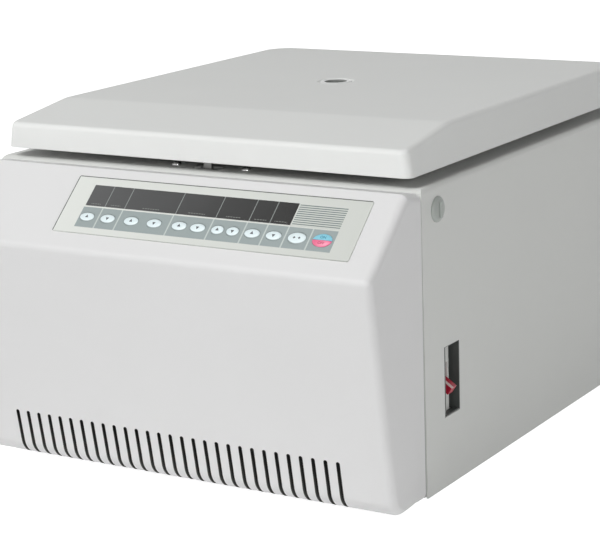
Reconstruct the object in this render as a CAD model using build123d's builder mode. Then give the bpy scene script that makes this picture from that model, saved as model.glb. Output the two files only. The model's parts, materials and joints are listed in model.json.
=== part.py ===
from build123d import *
import os
from math import atan2, cos, degrees, pi, sin

# Cytocentrifuge: a bench-top centrifuge that spins cell samples on to glass slides.
# Millimetres. +X is to the operator's right, +Y to the back and +Z up. The origin is on the bench,
# under the middle of the case. The lid is modelled shut and its lock released.

os.makedirs("parts", exist_ok=True)

# ------------------------------------------------------------------ driving dimensions
# Case
case_width = 430.0
case_depth = 545.0
foot_height = 12.0
deck_height = 274.8
sheet = 1.6
case_edge_radius = 4.5
pan_sheet = 2.0
pan_flange = 18.0
pan_gap = 2.0
inlet_flange = 2.5

# Front bezel
bezel_depth = 86.5
bezel_wall = 3.0
bezel_top_strip = 21.6
bezel_nose_height = 216.7
bezel_nose_radius = 7.0
bezel_edge_radius = 7.0
bezel_foot_setback = 33.9
bezel_foot_rise = 5.2
bezel_foot_radius = 26.0
bezel_sill = 8.6
bezel_sill_radius = 60.0
seam_gap = 0.8
seam_dip = 3.4
roll_length = 7.5
roll_depth = 5.0
tongue_length = 8.0
vent_count = 29
vent_pitch = 11.86
vent_width = 3.5
vent_top = 56.5
vent_bottom = 17.5

# Control panel, measured down the sloping face from its top edge
panel_left = -103.0
panel_right = 189.0
panel_top = 9.5
panel_bottom = 69.0
panel_thickness = 0.8
panel_corner = 1.5
display_top = 18.0
display_bottom = 40.0
window_ledge = 2.0
key_row = 51.6
display_edges = (-82.0, -61.5, -41.0, 11.5, 51.7, 84.0, 104.0, 123.5)
arrow_keys = (-74.2, -52.6, -28.1, -4.6, 20.8, 39.3, 58.8, 73.6, 92.4, 113.0)
narrow_pair = 3
mode_key = 135.0
run_key = 158.5
key_size = (15.0, 9.5)
narrow_key_size = (12.2, 9.5)
mode_key_size = (17.2, 11.8)
run_key_size = (17.9, 12.6)
key_proud = 0.6
key_travel = 0.5
key_clearance = 0.3
key_sides = 16
key_depth = 3.6
board_gap = 3.0
board_thickness = 1.6
board_margin = 8.0
switch_size = 6.0
module_height = 12.0
module_margin = 3.0
board_post = 6.0

# Lid
lid_side_inset = 8.5
lid_gap = 8.1
lid_setback = 1.25
lid_rear_inset = 2.1
lid_height = 34.2
lid_brow_height = 22.6
lid_slope_length = 79.15
lid_side_lean = 6.0
lid_wall = 2.0
lid_front_corner = 8.0
lid_rear_corner = 27.0
lid_edge_radius = 5.0
liner_sheet = 1.5
liner_recess = 1.0
liner_margin = 2.5
liner_flange = 8.0
hinge_channel = 16.0
lid_post = 8.0
lid_post_inset = 23.5
lid_post_front = 92.25
lid_post_rear = 45.9
port_x = -8.0
port_radius = 12.2
dish_radius = 18.0
dish_depth = 1.4
dish_bevel = 2.0
port_sleeve = 1.6
port_glass_radius = 13.4
port_glass_thickness = 3.8

# Hinges
hinge_x = 120.0
hinge_inset = 8.0
hinge_rise = 12.0
hinge_pin_radius = 2.5
knuckle_radius = 4.5
bracket_width = 16.0
knuckle_width = 16.0
hinge_gap = 0.5
leaf_width = 46.0
leaf_length = 38.0
leaf_thickness = 2.5
bracket_foot_length = 34.0
bracket_foot_width = 40.0
notch_height = 10.5
running_clearance = 0.05

# Lid lock
lock_setback = 17.0
slot_length = 24.0
slot_width = 12.0
striker_thickness = 4.0
striker_stem = 8.0
striker_head = 18.0
striker_shoulder_drop = 17.9
striker_end_drop = 22.8
striker_foot = (30.0, 10.0, 2.0)
lock_plate = 2.0
lock_left = -45.0
lock_right = 85.0
lock_back_setback = 36.0
lock_depth = 56.0
lock_wall_gap = 6.0
pawl_pivot_x = 30.0
pawl_pivot_drop = 34.8
pawl_pin_radius = 2.5
pawl_pin_end = 1.0
pawl_thickness = 6.0
pawl_arm = 8.0
pawl_reach = 20.0
pawl_nose_drop = 12.8
pawl_nose_height = 6.0
pawl_tail = 13.0
pawl_tail_taper = 1.0
plunger_radius = 3.5
plunger_drop = 12.0
plunger_gap = 0.4
coil_left = 42.0
coil_length = 30.0
coil_height = 20.0
rod_radius = 2.0
rod_end_inset = 21.0
rod_clearance = 0.08
tab_thickness = 3.0
tab_gap = 1.0
guide_sheet = 2.0
guide_inset = 31.0
lock_screw_x = 36.0
lock_screw_setback = 21.0
screw_head_radius = 4.2
screw_head_height = 2.4
screw_head_bevel = 0.8
small_sides = 16
round_sides = 32
ring_sides = 48

# Chamber, motor and rotor
chamber_back = 206.0
chamber_radius = 140.0
chamber_depth = 118.0
bowl_wall = 1.5
seal_width = 8.0
seal_radius = 149.0
shaft_hole = 30.0
motor_radius = 55.0
motor_height = 95.0
motor_bore_depth = 85.0
motor_plate_width = 200.0
motor_plate_drop = 16.8
motor_plate_thickness = 6.0
motor_plate_gap = 4.0
post_spread = 84.0
post_radius = 10.0
damper_radius = 12.0
damper_height = 18.0
shaft_radius = 12.0
shaft_end_gap = 0.5
rotor_seat_rise = 3.2
spindle_radius = 8.0
hub_radius = 24.0
hub_height = 36.0
rotor_web_rise = 11.2
rotor_web = 3.0
rim_radius = 111.0
station_count = 12
station_radius = 100.0
clip_width = 30.0
clip_sheet = 1.2
clip_height = 50.0
clip_ear = 8.0
slide_width = 25.4
slide_length = 75.0
slide_thickness = 1.0
card_thickness = 0.4
card_height = 66.0
funnel_plate_width = 24.0
funnel_plate_height = 40.0
funnel_plate_thickness = 3.0
cup_radius = 9.0
cup_sides = 6
cup_wall = 1.4
cup_height = 38.0
cup_reach = 18.0
spout_height = 14.0
spout_size = 8.8
spout_length = 12.0
nut_radius = 16.0
nut_height = 20.0
nut_sides = 10

# Right-hand side: circuit breaker window and the plug of the emergency release
window_front = 36.7
window_width = 27.7
window_bottom = 73.5
window_height = 61.0
breaker_width = 18.0
nose_recess = 7.6
nose_height = 70.0
nose_length = 17.0
breaker_length = 55.0
breaker_height = 80.0
toggle_setback = 14.5
toggle_radius = 6.0
toggle_width = 11.0
toggle_reach = 18.0
toggle_thickness = 8.0
toggle_angle = 34.4
toggle_slot = 25.0
toggle_pin_radius = 1.5
toggle_clearance = 1.0
breaker_bevel = 0.8
breaker_skin = 1.0
bracket_sheet = 2.0
bracket_lip = 3.0
plug_setback = 28.0
plug_drop = 21.1
plug_head_radius = 10.8
plug_head_height = 5.0
plug_stem_radius = 7.7
plug_stem_length = 12.0
plug_bevel = 1.8
plug_hole_clearance = 0.3

# Back panel and things on the floor of the case
inlet_inset = 75.0
inlet_z = 62.0
inlet_flange_size = (50.0, 28.0)
inlet_body_size = (30.0, 22.0)
inlet_depth = 24.0
socket_size = (24.4, 16.6)
socket_depth = 18.0
inlet_pin_spacing = 7.0
inlet_pin_length = 11.0
inlet_corner = 3.0
inlet_pin_size = (2.0, 4.0)
inlet_pin_stagger = 2.0
grille_slots = 14
grille_pitch = 12.0
grille_slot_width = 4.0
grille_slot_height = 46.0
floor_slots = 8
grille_x = -80.0
grille_z = 105.0
core_size = (84.0, 40.0, 70.0)
core_window = (14.0, 42.0)
core_window_pitch = 43.0
core_inset = 75.0
core_setback = 76.0
winding_overhang = 14.0
foot_radius = 14.0
foot_taper = 9.0
foot_inset = 47.0
foot_setback = 36.0
foot_rear_inset = 45.0

# ------------------------------------------------------------------ derived places
nose_y = -case_depth / 2
seam_y = nose_y + bezel_depth
slope_top_y = seam_y - bezel_top_strip
back_y = case_depth / 2 - inlet_flange
side_x = case_width / 2
inner_x = side_x - sheet
deck_under = deck_height - sheet
pan_top = foot_height + pan_sheet
slope_angle = atan2(deck_height - bezel_nose_height, slope_top_y - nose_y)
panel = Plane(
    origin=(0, slope_top_y, deck_height),
    x_dir=(1, 0, 0),
    z_dir=(0, -sin(slope_angle), cos(slope_angle)),
)
lid_width = case_width - 2 * lid_side_inset
lid_front = seam_y - lid_setback
lid_rear = back_y - lid_rear_inset
lid_bottom = deck_height + lid_gap
lid_top = lid_bottom + lid_height
lid_post_places = [
    (side * (lid_width / 2 - lid_post_inset), row)
    for side in (-1, 1)
    for row in (lid_front + lid_post_front, lid_rear - lid_post_rear)
]
hinge_y = lid_rear - hinge_inset
hinge_z = deck_height + hinge_rise
liner_bottom = lid_bottom + liner_recess
liner_top = liner_bottom + liner_sheet
liner_rear = lid_rear - hinge_channel
window_y = seam_y + window_front + window_width / 2
window_z = window_bottom + window_height / 2
plug_y = seam_y + plug_setback
plug_z = deck_height - plug_drop
breaker_face = side_x - nose_recess
breaker_back = breaker_face - nose_length - breaker_length
lock_y = seam_y + lock_setback
lock_back = seam_y + lock_back_setback
lock_wall_front = lock_y - lock_wall_gap - lock_plate
lock_screw_places = [(side * lock_screw_x, seam_y + lock_screw_setback) for side in (-1, 1)]
striker_shoulder = deck_height - striker_shoulder_drop
striker_end = deck_height - striker_end_drop
pawl_pivot_z = deck_height - pawl_pivot_drop
pawl_nose_bottom = deck_height - pawl_nose_drop
rod_y = plug_y
rod_z = plug_z
rod_end = side_x - rod_end_inset
chamber_y = back_y - chamber_back
chamber_floor = deck_height - chamber_depth
motor_plate_bottom = chamber_floor - motor_plate_drop
motor_bottom = motor_plate_bottom - motor_height
motor_bore_foot = motor_plate_bottom - motor_bore_depth
rotor_seat = chamber_floor + rotor_seat_rise
rotor_web_bottom = chamber_floor + rotor_web_rise
station_bottom = rotor_web_bottom + rotor_web
inlet_x = side_x - inlet_inset
fixed_tolerance = 0.02
foot_places = [
    (side * (side_x - foot_inset), row)
    for side in (-1, 1)
    for row in (seam_y + foot_setback, back_y - foot_rear_inset)
]
display_left = display_edges[0]
display_right = display_edges[-1]
key_bay_margin = 2 * key_clearance
key_bay_left = arrow_keys[0] - key_size[0] / 2 - key_bay_margin
key_bay_right = run_key + run_key_size[0] / 2 + key_bay_margin
board_post_pitch_x = panel_right - panel_left - 2 * board_margin
board_post_pitch_y = panel_bottom - panel_top - board_margin


def write_part(piece, name):
    """Label a finished piece and write it as its own STEP file."""
    piece.part.label = name
    export_step(piece.part, f"parts/{name}.step")


def round_plane(height):
    """The level plane at a height whose centre is the axis of the chamber."""
    return Plane((0, chamber_y, height))


def port_plane(height):
    """The level plane at a height whose centre is the axis of the observation port."""
    return Plane((port_x, chamber_y, height))


def on_panel(top, bottom):
    """Middle of a band of the control panel, as a height in the panel's own plane."""
    return -(top + bottom) / 2


def rod_guide():
    """Sketch a tab that hangs from the deck with a hole for the release rod."""
    with Locations((rod_y, deck_under)):
        Rectangle(4 * rod_radius, deck_under - rod_z + 3 * rod_radius, align=(Align.CENTER, Align.MAX))
    with Locations((rod_y, rod_z)):
        Circle(rod_radius + rod_clearance, mode=Mode.SUBTRACT)


# ------------------------------------------------------------------ case
# Front bezel: one moulding whose side outline runs from the deck down the sloping control face and
# the front face, and curls under to meet the floor pan.
with BuildPart() as front_bezel:
    with BuildSketch(Plane.YZ):
        with BuildLine():
            Polyline(
                (seam_y, foot_height),
                (seam_y, deck_height - seam_dip),
                (slope_top_y, deck_height),
                (nose_y, bezel_nose_height),
                (nose_y + bezel_foot_setback, foot_height + bezel_foot_rise),
                (seam_y - bezel_sill, foot_height),
                close=True,
            )
        make_face()
        outline = vertices().sort_by(Axis.X)
        fillet(outline[0], bezel_nose_radius)
        fillet(outline[1], bezel_foot_radius)
        fillet(outline[3], bezel_sill_radius)
    extrude(amount=side_x, both=True)
    offset(amount=-bezel_wall, openings=faces().sort_by(Axis.Y)[-1])
    cheeks = faces().filter_by(Axis.X).group_by(Axis.X)
    cheek_edges = cheeks[0].edges() + cheeks[-1].edges()
    fillet(cheek_edges.filter_by(lambda edge: edge.center().Y < seam_y - bezel_wall), bezel_edge_radius)
    # Tongue that slides inside the case, along its two sides and under the deck's rolled edge.
    tongue_top = deck_height - roll_depth - fixed_tolerance
    tongue_height = tongue_top - pan_top - pan_flange
    tongue = bezel_wall - sheet
    with BuildSketch(Plane.XZ.offset(-seam_y + bezel_wall)):
        with Locations((0, tongue_top)):
            Rectangle(2 * inner_x, tongue_height, align=(Align.CENTER, Align.MAX))
            Rectangle(
                2 * (inner_x - tongue),
                tongue_height - tongue,
                align=(Align.CENTER, Align.MAX),
                mode=Mode.SUBTRACT,
            )
    extrude(amount=-(tongue_length + bezel_wall))
    # Vent slots through the foot of the front wall.
    with BuildSketch(Plane.XZ.offset(-nose_y - bezel_foot_setback - bezel_foot_radius)):
        with Locations((0, (vent_top + vent_bottom) / 2)):
            with GridLocations(vent_pitch, 1, vent_count, 1):
                Rectangle(vent_width, vent_top - vent_bottom)
        chamfer(vertices().group_by(Axis.Y)[-1], vent_width / 3)
    extrude(amount=bezel_depth, mode=Mode.SUBTRACT)
    # Apertures behind the display and the key strip.
    with BuildSketch(panel):
        with Locations(((display_left + display_right) / 2, on_panel(display_top, display_bottom))):
            Rectangle(
                display_right - display_left - 2 * window_ledge,
                display_bottom - display_top - 2 * window_ledge,
            )
        with Locations(((key_bay_left + key_bay_right) / 2, -key_row)):
            Rectangle(key_bay_right - key_bay_left, run_key_size[1] + 2 * key_bay_margin)
    extrude(amount=-2 * bezel_wall, mode=Mode.SUBTRACT)
    # Posts that carry the control board.
    with BuildSketch(panel.offset(-bezel_wall - board_gap)):
        with Locations(((panel_left + panel_right) / 2, on_panel(panel_top, panel_bottom))):
            with GridLocations(board_post_pitch_x, board_post_pitch_y, 2, 2):
                Rectangle(board_post, board_post)
    extrude(amount=board_gap + bezel_wall / 2)
write_part(front_bezel, "front_bezel")

# Case wrap: one sheet folded over the top and down both sides, cut for the chamber, the lock, the
# circuit breaker and the release plug.
with BuildPart() as case_wrap:
    with BuildSketch(Plane.XZ.offset(-back_y)):
        with Locations((0, foot_height)):
            Rectangle(case_width, deck_height - foot_height, align=(Align.CENTER, Align.MIN))
        fillet(vertices().group_by(Axis.Y)[-1], case_edge_radius)
        with Locations((0, foot_height)):
            Rectangle(
                2 * inner_x,
                deck_under - foot_height,
                align=(Align.CENTER, Align.MIN),
                mode=Mode.SUBTRACT,
            )
    extrude(amount=back_y - seam_y - seam_gap)
    # The deck's front edge is rolled down towards the seam.
    with BuildSketch(Plane.YZ):
        with Locations((seam_y + seam_gap, deck_under)):
            Rectangle(roll_length, roll_depth - sheet, align=(Align.MIN, Align.MAX))
    extrude(amount=inner_x, both=True)
    with BuildSketch(Plane.YZ):
        with BuildLine():
            roll_back = (seam_y + seam_gap + roll_length, deck_height)
            roll_front = (seam_y + seam_gap, deck_height - seam_dip)
            TangentArc(roll_back, roll_front, tangent=(-1, 0))
            Polyline(
                roll_front,
                (seam_y, deck_height - seam_dip),
                (seam_y, lid_bottom),
                (seam_y + seam_gap + roll_length, lid_bottom),
                roll_back,
            )
        make_face()
    extrude(amount=case_width, both=True, mode=Mode.SUBTRACT)
    with BuildSketch(round_plane(deck_under)):
        RegularPolygon(chamber_radius + bowl_wall + fixed_tolerance, ring_sides)
    extrude(amount=2 * sheet, mode=Mode.SUBTRACT)
    with BuildSketch(Plane.XY.offset(deck_under)):
        with Locations((0, lock_y)):
            Rectangle(slot_length, slot_width)
    extrude(amount=2 * sheet, mode=Mode.SUBTRACT)
    with BuildSketch(Plane.YZ.offset(inner_x - sheet)):
        with Locations((window_y, window_z)):
            Rectangle(window_width, window_height)
        with Locations((plug_y, plug_z)):
            Circle(plug_stem_radius + plug_hole_clearance)
    extrude(amount=3 * sheet, mode=Mode.SUBTRACT)
    # Hanging tab that guides the far end of the release rod.
    with BuildSketch(Plane.YZ.offset(side_x - guide_inset)):
        rod_guide()
    extrude(amount=guide_sheet)
write_part(case_wrap, "case_wrap")

# Floor pan: a folded tray inside the case, with a front apron that meets the bezel, cooling slots and
# the upright that carries the circuit breaker.
with BuildPart() as base_pan:
    pan_front = seam_y + tongue_length + pan_gap
    with BuildSketch(Plane.XY.offset(foot_height)):
        with Locations((0, back_y - sheet)):
            Rectangle(2 * inner_x, back_y - sheet - pan_front, align=(Align.CENTER, Align.MAX))
    extrude(amount=pan_flange + pan_sheet)
    offset(amount=-pan_sheet, openings=faces().sort_by(Axis.Z)[-1])
    with BuildSketch(Plane.XY.offset(foot_height)):
        with Locations((0, pan_front)):
            Rectangle(2 * (inner_x - bezel_wall), pan_front - seam_y, align=(Align.CENTER, Align.MAX))
    extrude(amount=pan_sheet)
    with BuildSketch(Plane.XY.offset(foot_height)):
        with Locations((0, chamber_y)):
            with GridLocations(grille_pitch, 2 * grille_slot_height, floor_slots, 2):
                Rectangle(grille_slot_width, grille_slot_height)
    extrude(amount=2 * pan_sheet, mode=Mode.SUBTRACT)
    with BuildSketch(Plane.YZ.offset(breaker_back - bracket_sheet)):
        with Locations((window_y, foot_height)):
            Rectangle(
                breaker_width + 2 * bracket_lip,
                window_z + breaker_height / 2 - foot_height,
                align=(Align.CENTER, Align.MIN),
            )
    extrude(amount=bracket_sheet)
write_part(base_pan, "base_pan")

# Back panel: a plate that closes the case, with an exhaust grille and the mains inlet's opening.
with BuildPart() as rear_panel:
    panel_bottom_edge = pan_top + pan_flange
    with BuildSketch(Plane.XZ.offset(-back_y)):
        with Locations((0, panel_bottom_edge)):
            Rectangle(2 * inner_x, deck_under - panel_bottom_edge, align=(Align.CENTER, Align.MIN))
        fillet(vertices().group_by(Axis.Y)[-1], case_edge_radius - sheet)
        with Locations((inlet_x, inlet_z)):
            Rectangle(
                inlet_body_size[0] + 2 * fixed_tolerance,
                inlet_body_size[1] + 2 * fixed_tolerance,
                mode=Mode.SUBTRACT,
            )
        with Locations((grille_x, grille_z)):
            with GridLocations(grille_pitch, 1, grille_slots, 1):
                Rectangle(grille_slot_width, 2 * grille_slot_height, mode=Mode.SUBTRACT)
    extrude(amount=sheet)
write_part(rear_panel, "rear_panel")

# ------------------------------------------------------------------ control panel
# Overlay: a thin printed plate on the sloping face, cut for the display window and the keys.
key_shapes = []
for number, place in enumerate(arrow_keys):
    pair, lower = divmod(number, 2)
    label = f"key_down_{pair + 1}" if lower else f"key_up_{pair + 1}"
    size = narrow_key_size if pair == narrow_pair else key_size
    key_shapes.append((label, place, size, 0))
key_shapes.append(("key_mode", mode_key, mode_key_size, 0))
key_shapes.append(("key_start", run_key, run_key_size, 1))
key_shapes.append(("key_stop", run_key, run_key_size, -1))


def key_outline(place, size, half, margin):
    """Sketch one oval key, or the upper (1) or lower (-1) half of one, grown by a margin."""
    across = size[0] / 2 + margin
    along = size[1] / 2 + margin
    turns = [2 * pi * side / key_sides for side in range(key_sides)]
    with Locations((place, -key_row)):
        Polygon(*[(across * cos(turn), along * sin(turn)) for turn in turns])
        if half:
            with Locations((0, half * (key_clearance / 2 - margin))):
                far_side = Align.MAX if half > 0 else Align.MIN
                Rectangle(2 * across, 2 * along, align=(Align.CENTER, far_side), mode=Mode.SUBTRACT)


with BuildPart() as keypad_overlay:
    with BuildSketch(panel):
        with Locations(((panel_left + panel_right) / 2, on_panel(panel_top, panel_bottom))):
            RectangleRounded(panel_right - panel_left, panel_bottom - panel_top, panel_corner)
        with Locations(((display_left + display_right) / 2, on_panel(display_top, display_bottom))):
            Rectangle(display_right - display_left, display_bottom - display_top, mode=Mode.SUBTRACT)
    extrude(amount=panel_thickness)
    for label, place, size, half in key_shapes:
        with BuildSketch(panel):
            key_outline(place, size, half, key_clearance)
        extrude(amount=panel_thickness, mode=Mode.SUBTRACT)
write_part(keypad_overlay, "keypad_overlay")

with BuildPart() as display_window:
    with BuildSketch(panel):
        with Locations(((display_left + display_right) / 2, on_panel(display_top, display_bottom))):
            Rectangle(
                display_right - display_left - 2 * fixed_tolerance,
                display_bottom - display_top - 2 * fixed_tolerance,
            )
    extrude(amount=panel_thickness)
write_part(display_window, "display_window")

# Control board: circuit board on the bezel's posts, with a digit block behind each display cell and a
# switch under each key.
with BuildPart() as control_board:
    board_top = -bezel_wall - board_gap
    with BuildSketch(panel.offset(board_top)):
        with Locations(((panel_left + panel_right) / 2, on_panel(panel_top, panel_bottom))):
            Rectangle(
                board_post_pitch_x + board_margin,
                board_post_pitch_y + board_post,
            )
    extrude(amount=-board_thickness)
    for left_edge, right_edge in zip(display_edges, display_edges[1:]):
        with BuildSketch(panel.offset(board_top)):
            with Locations(((left_edge + right_edge) / 2, on_panel(display_top, display_bottom))):
                Rectangle(right_edge - left_edge - 2 * module_margin, module_height)
        extrude(amount=-board_top - key_proud)
    for label, place, size, half in key_shapes:
        with BuildSketch(panel.offset(board_top)):
            with Locations((place, -key_row + half * size[1] / 4)):
                Rectangle(switch_size, switch_size / (2 if half else 1))
        extrude(amount=-board_top - key_depth - key_travel - key_clearance)
write_part(control_board, "control_board")

# Keys: oval caps that come through the overlay from over their switches.
for label, place, size, half in key_shapes:
    with BuildPart() as key:
        with BuildSketch(panel.offset(-key_depth)):
            key_outline(place, size, half, 0)
        extrude(amount=key_depth + panel_thickness + key_proud)
    write_part(key, label)

# ------------------------------------------------------------------ lid
lid_crease_y = lid_front + lid_slope_length
lid_brow_z = lid_bottom + lid_brow_height
lean = atan2(lid_side_lean, lid_height)

# Lid shell: a deep-drawn cover with a sloping brow, leaning sides and a dished port in its top.
with BuildPart() as lid_shell:
    with BuildSketch(Plane.YZ):
        with BuildLine():
            Polyline(
                (lid_front, lid_bottom),
                (lid_front, lid_brow_z),
                (lid_crease_y, lid_top),
                (lid_rear, lid_top),
                (lid_rear, lid_bottom),
                close=True,
            )
        make_face()
    extrude(amount=lid_width / 2, both=True)
    for side in (-1, 1):
        side_plane = Plane(
            origin=(side * lid_width / 2, 0, lid_bottom),
            z_dir=(side * cos(lean), 0, sin(lean)),
        )
        split(bisect_by=side_plane, keep=Keep.BOTTOM)
    rear_corners = faces().sort_by(Axis.Y)[-1].edges().sort_by(SortBy.LENGTH)[:2]
    fillet(rear_corners, lid_rear_corner)
    front_corners = faces().sort_by(Axis.Y)[0].edges().sort_by(SortBy.LENGTH)[:2]
    fillet(front_corners, lid_front_corner)
    offset(amount=-lid_wall, openings=faces().sort_by(Axis.Z)[0])
    crown = faces().filter_by(lambda face: face.normal_at().Z > sin(lean))
    crown_edges = crown.edges().filter_by(lambda edge: abs(edge.center().Y - lid_crease_y) > lid_wall)
    fillet(crown_edges, lid_edge_radius)
    with BuildSketch(port_plane(lid_top - dish_depth)):
        RegularPolygon(dish_radius + lid_wall, round_sides)
    extrude(amount=-lid_wall)
    with BuildSketch(port_plane(lid_top)):
        Circle(dish_radius)
    extrude(amount=-dish_depth, taper=degrees(atan2(dish_bevel, dish_depth)), mode=Mode.SUBTRACT)
    with BuildSketch(port_plane(lid_top)):
        RegularPolygon(port_radius, round_sides)
    extrude(amount=-dish_depth - 2 * lid_wall, mode=Mode.SUBTRACT)
    # Posts that the liner is fixed to.
    with BuildSketch(Plane.XY.offset(liner_top)):
        with Locations(*lid_post_places):
            Rectangle(lid_post, lid_post)
    extrude(until=Until.NEXT)
    # Notches in the rear wall for the hinge knuckles.
    with BuildSketch(Plane.XZ.offset(-lid_rear)):
        with Locations((-hinge_x, lid_bottom), (hinge_x, lid_bottom)):
            Rectangle(leaf_width, notch_height, align=(Align.CENTER, Align.MIN))
    extrude(amount=2 * lid_wall, mode=Mode.SUBTRACT)
write_part(lid_shell, "lid_shell")

# Lid liner: the inner plate that meets the chamber seal, with a turned-up edge.
with BuildPart() as lid_liner:
    liner_front = lid_front + lid_wall + liner_margin
    liner_half = lid_width / 2 - lid_wall - 2 * liner_margin
    with BuildSketch(Plane.XY.offset(liner_bottom)):
        with Locations((0, liner_front)):
            Rectangle(2 * liner_half, liner_rear - liner_front, align=(Align.CENTER, Align.MIN))
        fillet(vertices(), lid_front_corner)
    extrude(amount=liner_flange)
    offset(amount=-liner_sheet, openings=faces().sort_by(Axis.Z)[-1])
    # The turned-up edge stops short of the hinge channel.
    with BuildSketch(Plane.XY.offset(liner_top)):
        with Locations((0, liner_rear)):
            Rectangle(2 * liner_half, lid_front_corner, align=(Align.CENTER, Align.MAX))
    extrude(amount=liner_flange, mode=Mode.SUBTRACT)
    # Sleeve of the observation port, which reaches up to the dished top.
    with BuildSketch(port_plane(liner_top)):
        RegularPolygon(port_glass_radius + port_sleeve, round_sides)
        RegularPolygon(port_glass_radius + fixed_tolerance, round_sides, mode=Mode.SUBTRACT)
    extrude(amount=lid_top - dish_depth - lid_wall - liner_top)
    with BuildSketch(port_plane(liner_bottom)):
        RegularPolygon(port_radius, round_sides)
    extrude(amount=liner_sheet, mode=Mode.SUBTRACT)
write_part(lid_liner, "lid_liner")

# Glass of the observation port, in the foot of the sleeve.
with BuildPart() as port_window:
    with BuildSketch(port_plane(liner_top)):
        RegularPolygon(port_glass_radius, round_sides)
    extrude(amount=port_glass_thickness)
write_part(port_window, "port_window")

# Striker: the lid's half of the lock, a T-shaped tongue under a mounting foot.
with BuildPart() as lid_striker:
    with BuildSketch(Plane.XZ.offset(-lock_y - striker_thickness / 2)):
        with Locations((0, liner_bottom)):
            Rectangle(striker_stem, liner_bottom - striker_end, align=(Align.CENTER, Align.MAX))
        with Locations((0, striker_end)):
            Rectangle(striker_head, striker_shoulder - striker_end, align=(Align.CENTER, Align.MIN))
        chamfer(vertices().group_by(Axis.Y)[0], striker_thickness / 3)
    extrude(amount=striker_thickness)
    with BuildSketch(Plane.XY.offset(liner_bottom)):
        with Locations((0, lock_y)):
            Rectangle(striker_foot[0], striker_foot[1])
    extrude(amount=-striker_foot[2])
write_part(lid_striker, "lid_striker")

# ------------------------------------------------------------------ hinges
# Hinge brackets: on the deck, each with one knuckle and the pin that is fixed in it.
with BuildPart() as hinge_brackets:
    for side in (-1, 1):
        with BuildSketch(Plane.YZ.offset(side * hinge_x - bracket_width / 2)):
            with Locations((hinge_y, hinge_z)):
                RegularPolygon(knuckle_radius, small_sides)
                Rectangle(2 * knuckle_radius, hinge_rise, align=(Align.CENTER, Align.MAX))
        extrude(amount=bracket_width)
        with BuildSketch(Plane.YZ.offset(side * hinge_x)):
            with Locations((hinge_y, hinge_z)):
                Circle(hinge_pin_radius)
        extrude(amount=side * (bracket_width / 2 + hinge_gap + knuckle_width))
        with BuildSketch(Plane.XY.offset(deck_height)):
            with Locations((side * hinge_x, hinge_y + knuckle_radius)):
                Rectangle(bracket_foot_width, bracket_foot_length, align=(Align.CENTER, Align.MAX))
        extrude(amount=leaf_thickness)
write_part(hinge_brackets, "hinge_brackets")

# Hinge leaves: under the lid's shell, each with one knuckle beside its bracket's.
with BuildPart() as lid_hinge_leaves:
    for side in (-1, 1):
        with BuildSketch(Plane.XY.offset(liner_top)):
            with Locations((side * hinge_x, liner_rear - liner_sheet)):
                Rectangle(leaf_width, leaf_length, align=(Align.CENTER, Align.MAX))
        extrude(amount=leaf_thickness)
        knuckle_middle = side * (hinge_x + bracket_width / 2 + hinge_gap + knuckle_width / 2)
        with BuildSketch(Plane.YZ.offset(knuckle_middle - knuckle_width / 2)):
            with Locations((hinge_y, hinge_z)):
                RegularPolygon(knuckle_radius, small_sides)
            with Locations((hinge_y, liner_top)):
                Rectangle(
                    hinge_y - liner_rear + leaf_length / 2,
                    leaf_thickness,
                    align=(Align.MAX, Align.MIN),
                )
            with Locations((hinge_y, hinge_z)):
                Circle(hinge_pin_radius + running_clearance, mode=Mode.SUBTRACT)
        extrude(amount=knuckle_width)
write_part(lid_hinge_leaves, "lid_hinge_leaves")

# ------------------------------------------------------------------ chamber and motor
# Chamber bowl: let into the hole in the deck, with a hole in its floor for the drive shaft.
with BuildPart() as chamber_bowl:
    with BuildSketch(round_plane(chamber_floor - bowl_wall)):
        RegularPolygon(chamber_radius + bowl_wall, ring_sides)
    extrude(amount=deck_height - chamber_floor + bowl_wall)
    offset(amount=-bowl_wall, openings=faces().sort_by(Axis.Z)[-1])
    with BuildSketch(round_plane(chamber_floor)):
        RegularPolygon(shaft_hole, round_sides)
    extrude(amount=-2 * bowl_wall, mode=Mode.SUBTRACT)
write_part(chamber_bowl, "chamber_bowl")

# Chamber seal: rubber ring on the deck and the bowl's rim, which the lid's liner comes down to.
with BuildPart() as chamber_seal:
    with BuildSketch(round_plane(deck_height)):
        RegularPolygon(seal_radius, ring_sides)
        RegularPolygon(seal_radius - seal_width, ring_sides, mode=Mode.SUBTRACT)
    extrude(amount=liner_bottom - key_clearance - deck_height)
write_part(chamber_seal, "chamber_seal")

# Motor suspension: three hexagonal posts on the floor pan, a rubber damper on each, and the plate they
# carry, which the motor hangs from.
post_top = motor_plate_bottom - damper_height
with BuildPart() as motor_posts:
    with BuildSketch(round_plane(pan_top)):
        with PolarLocations(post_spread, 3, start_angle=90):
            RegularPolygon(post_radius, 6)
    extrude(amount=post_top - pan_top)
write_part(motor_posts, "motor_posts")

with BuildPart() as motor_dampers:
    with BuildSketch(round_plane(post_top)):
        with PolarLocations(post_spread, 3, start_angle=90):
            RegularPolygon(damper_radius, small_sides)
    extrude(amount=damper_height)
write_part(motor_dampers, "motor_dampers")

with BuildPart() as motor_plate:
    with BuildSketch(round_plane(motor_plate_bottom)):
        Rectangle(motor_plate_width, motor_plate_width)
        RegularPolygon(shaft_radius + motor_plate_gap, small_sides, mode=Mode.SUBTRACT)
    extrude(amount=motor_plate_thickness)
write_part(motor_plate, "motor_plate")

# Motor: a closed can under the plate, bored for the drive shaft.
with BuildPart() as motor_housing:
    with BuildSketch(round_plane(motor_bottom)):
        RegularPolygon(motor_radius, round_sides)
    extrude(amount=motor_plate_bottom - motor_bottom)
    with BuildSketch(round_plane(motor_bore_foot)):
        Circle(shaft_radius + running_clearance)
    extrude(amount=motor_plate_bottom - motor_bore_foot, mode=Mode.SUBTRACT)
write_part(motor_housing, "motor_housing")

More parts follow.
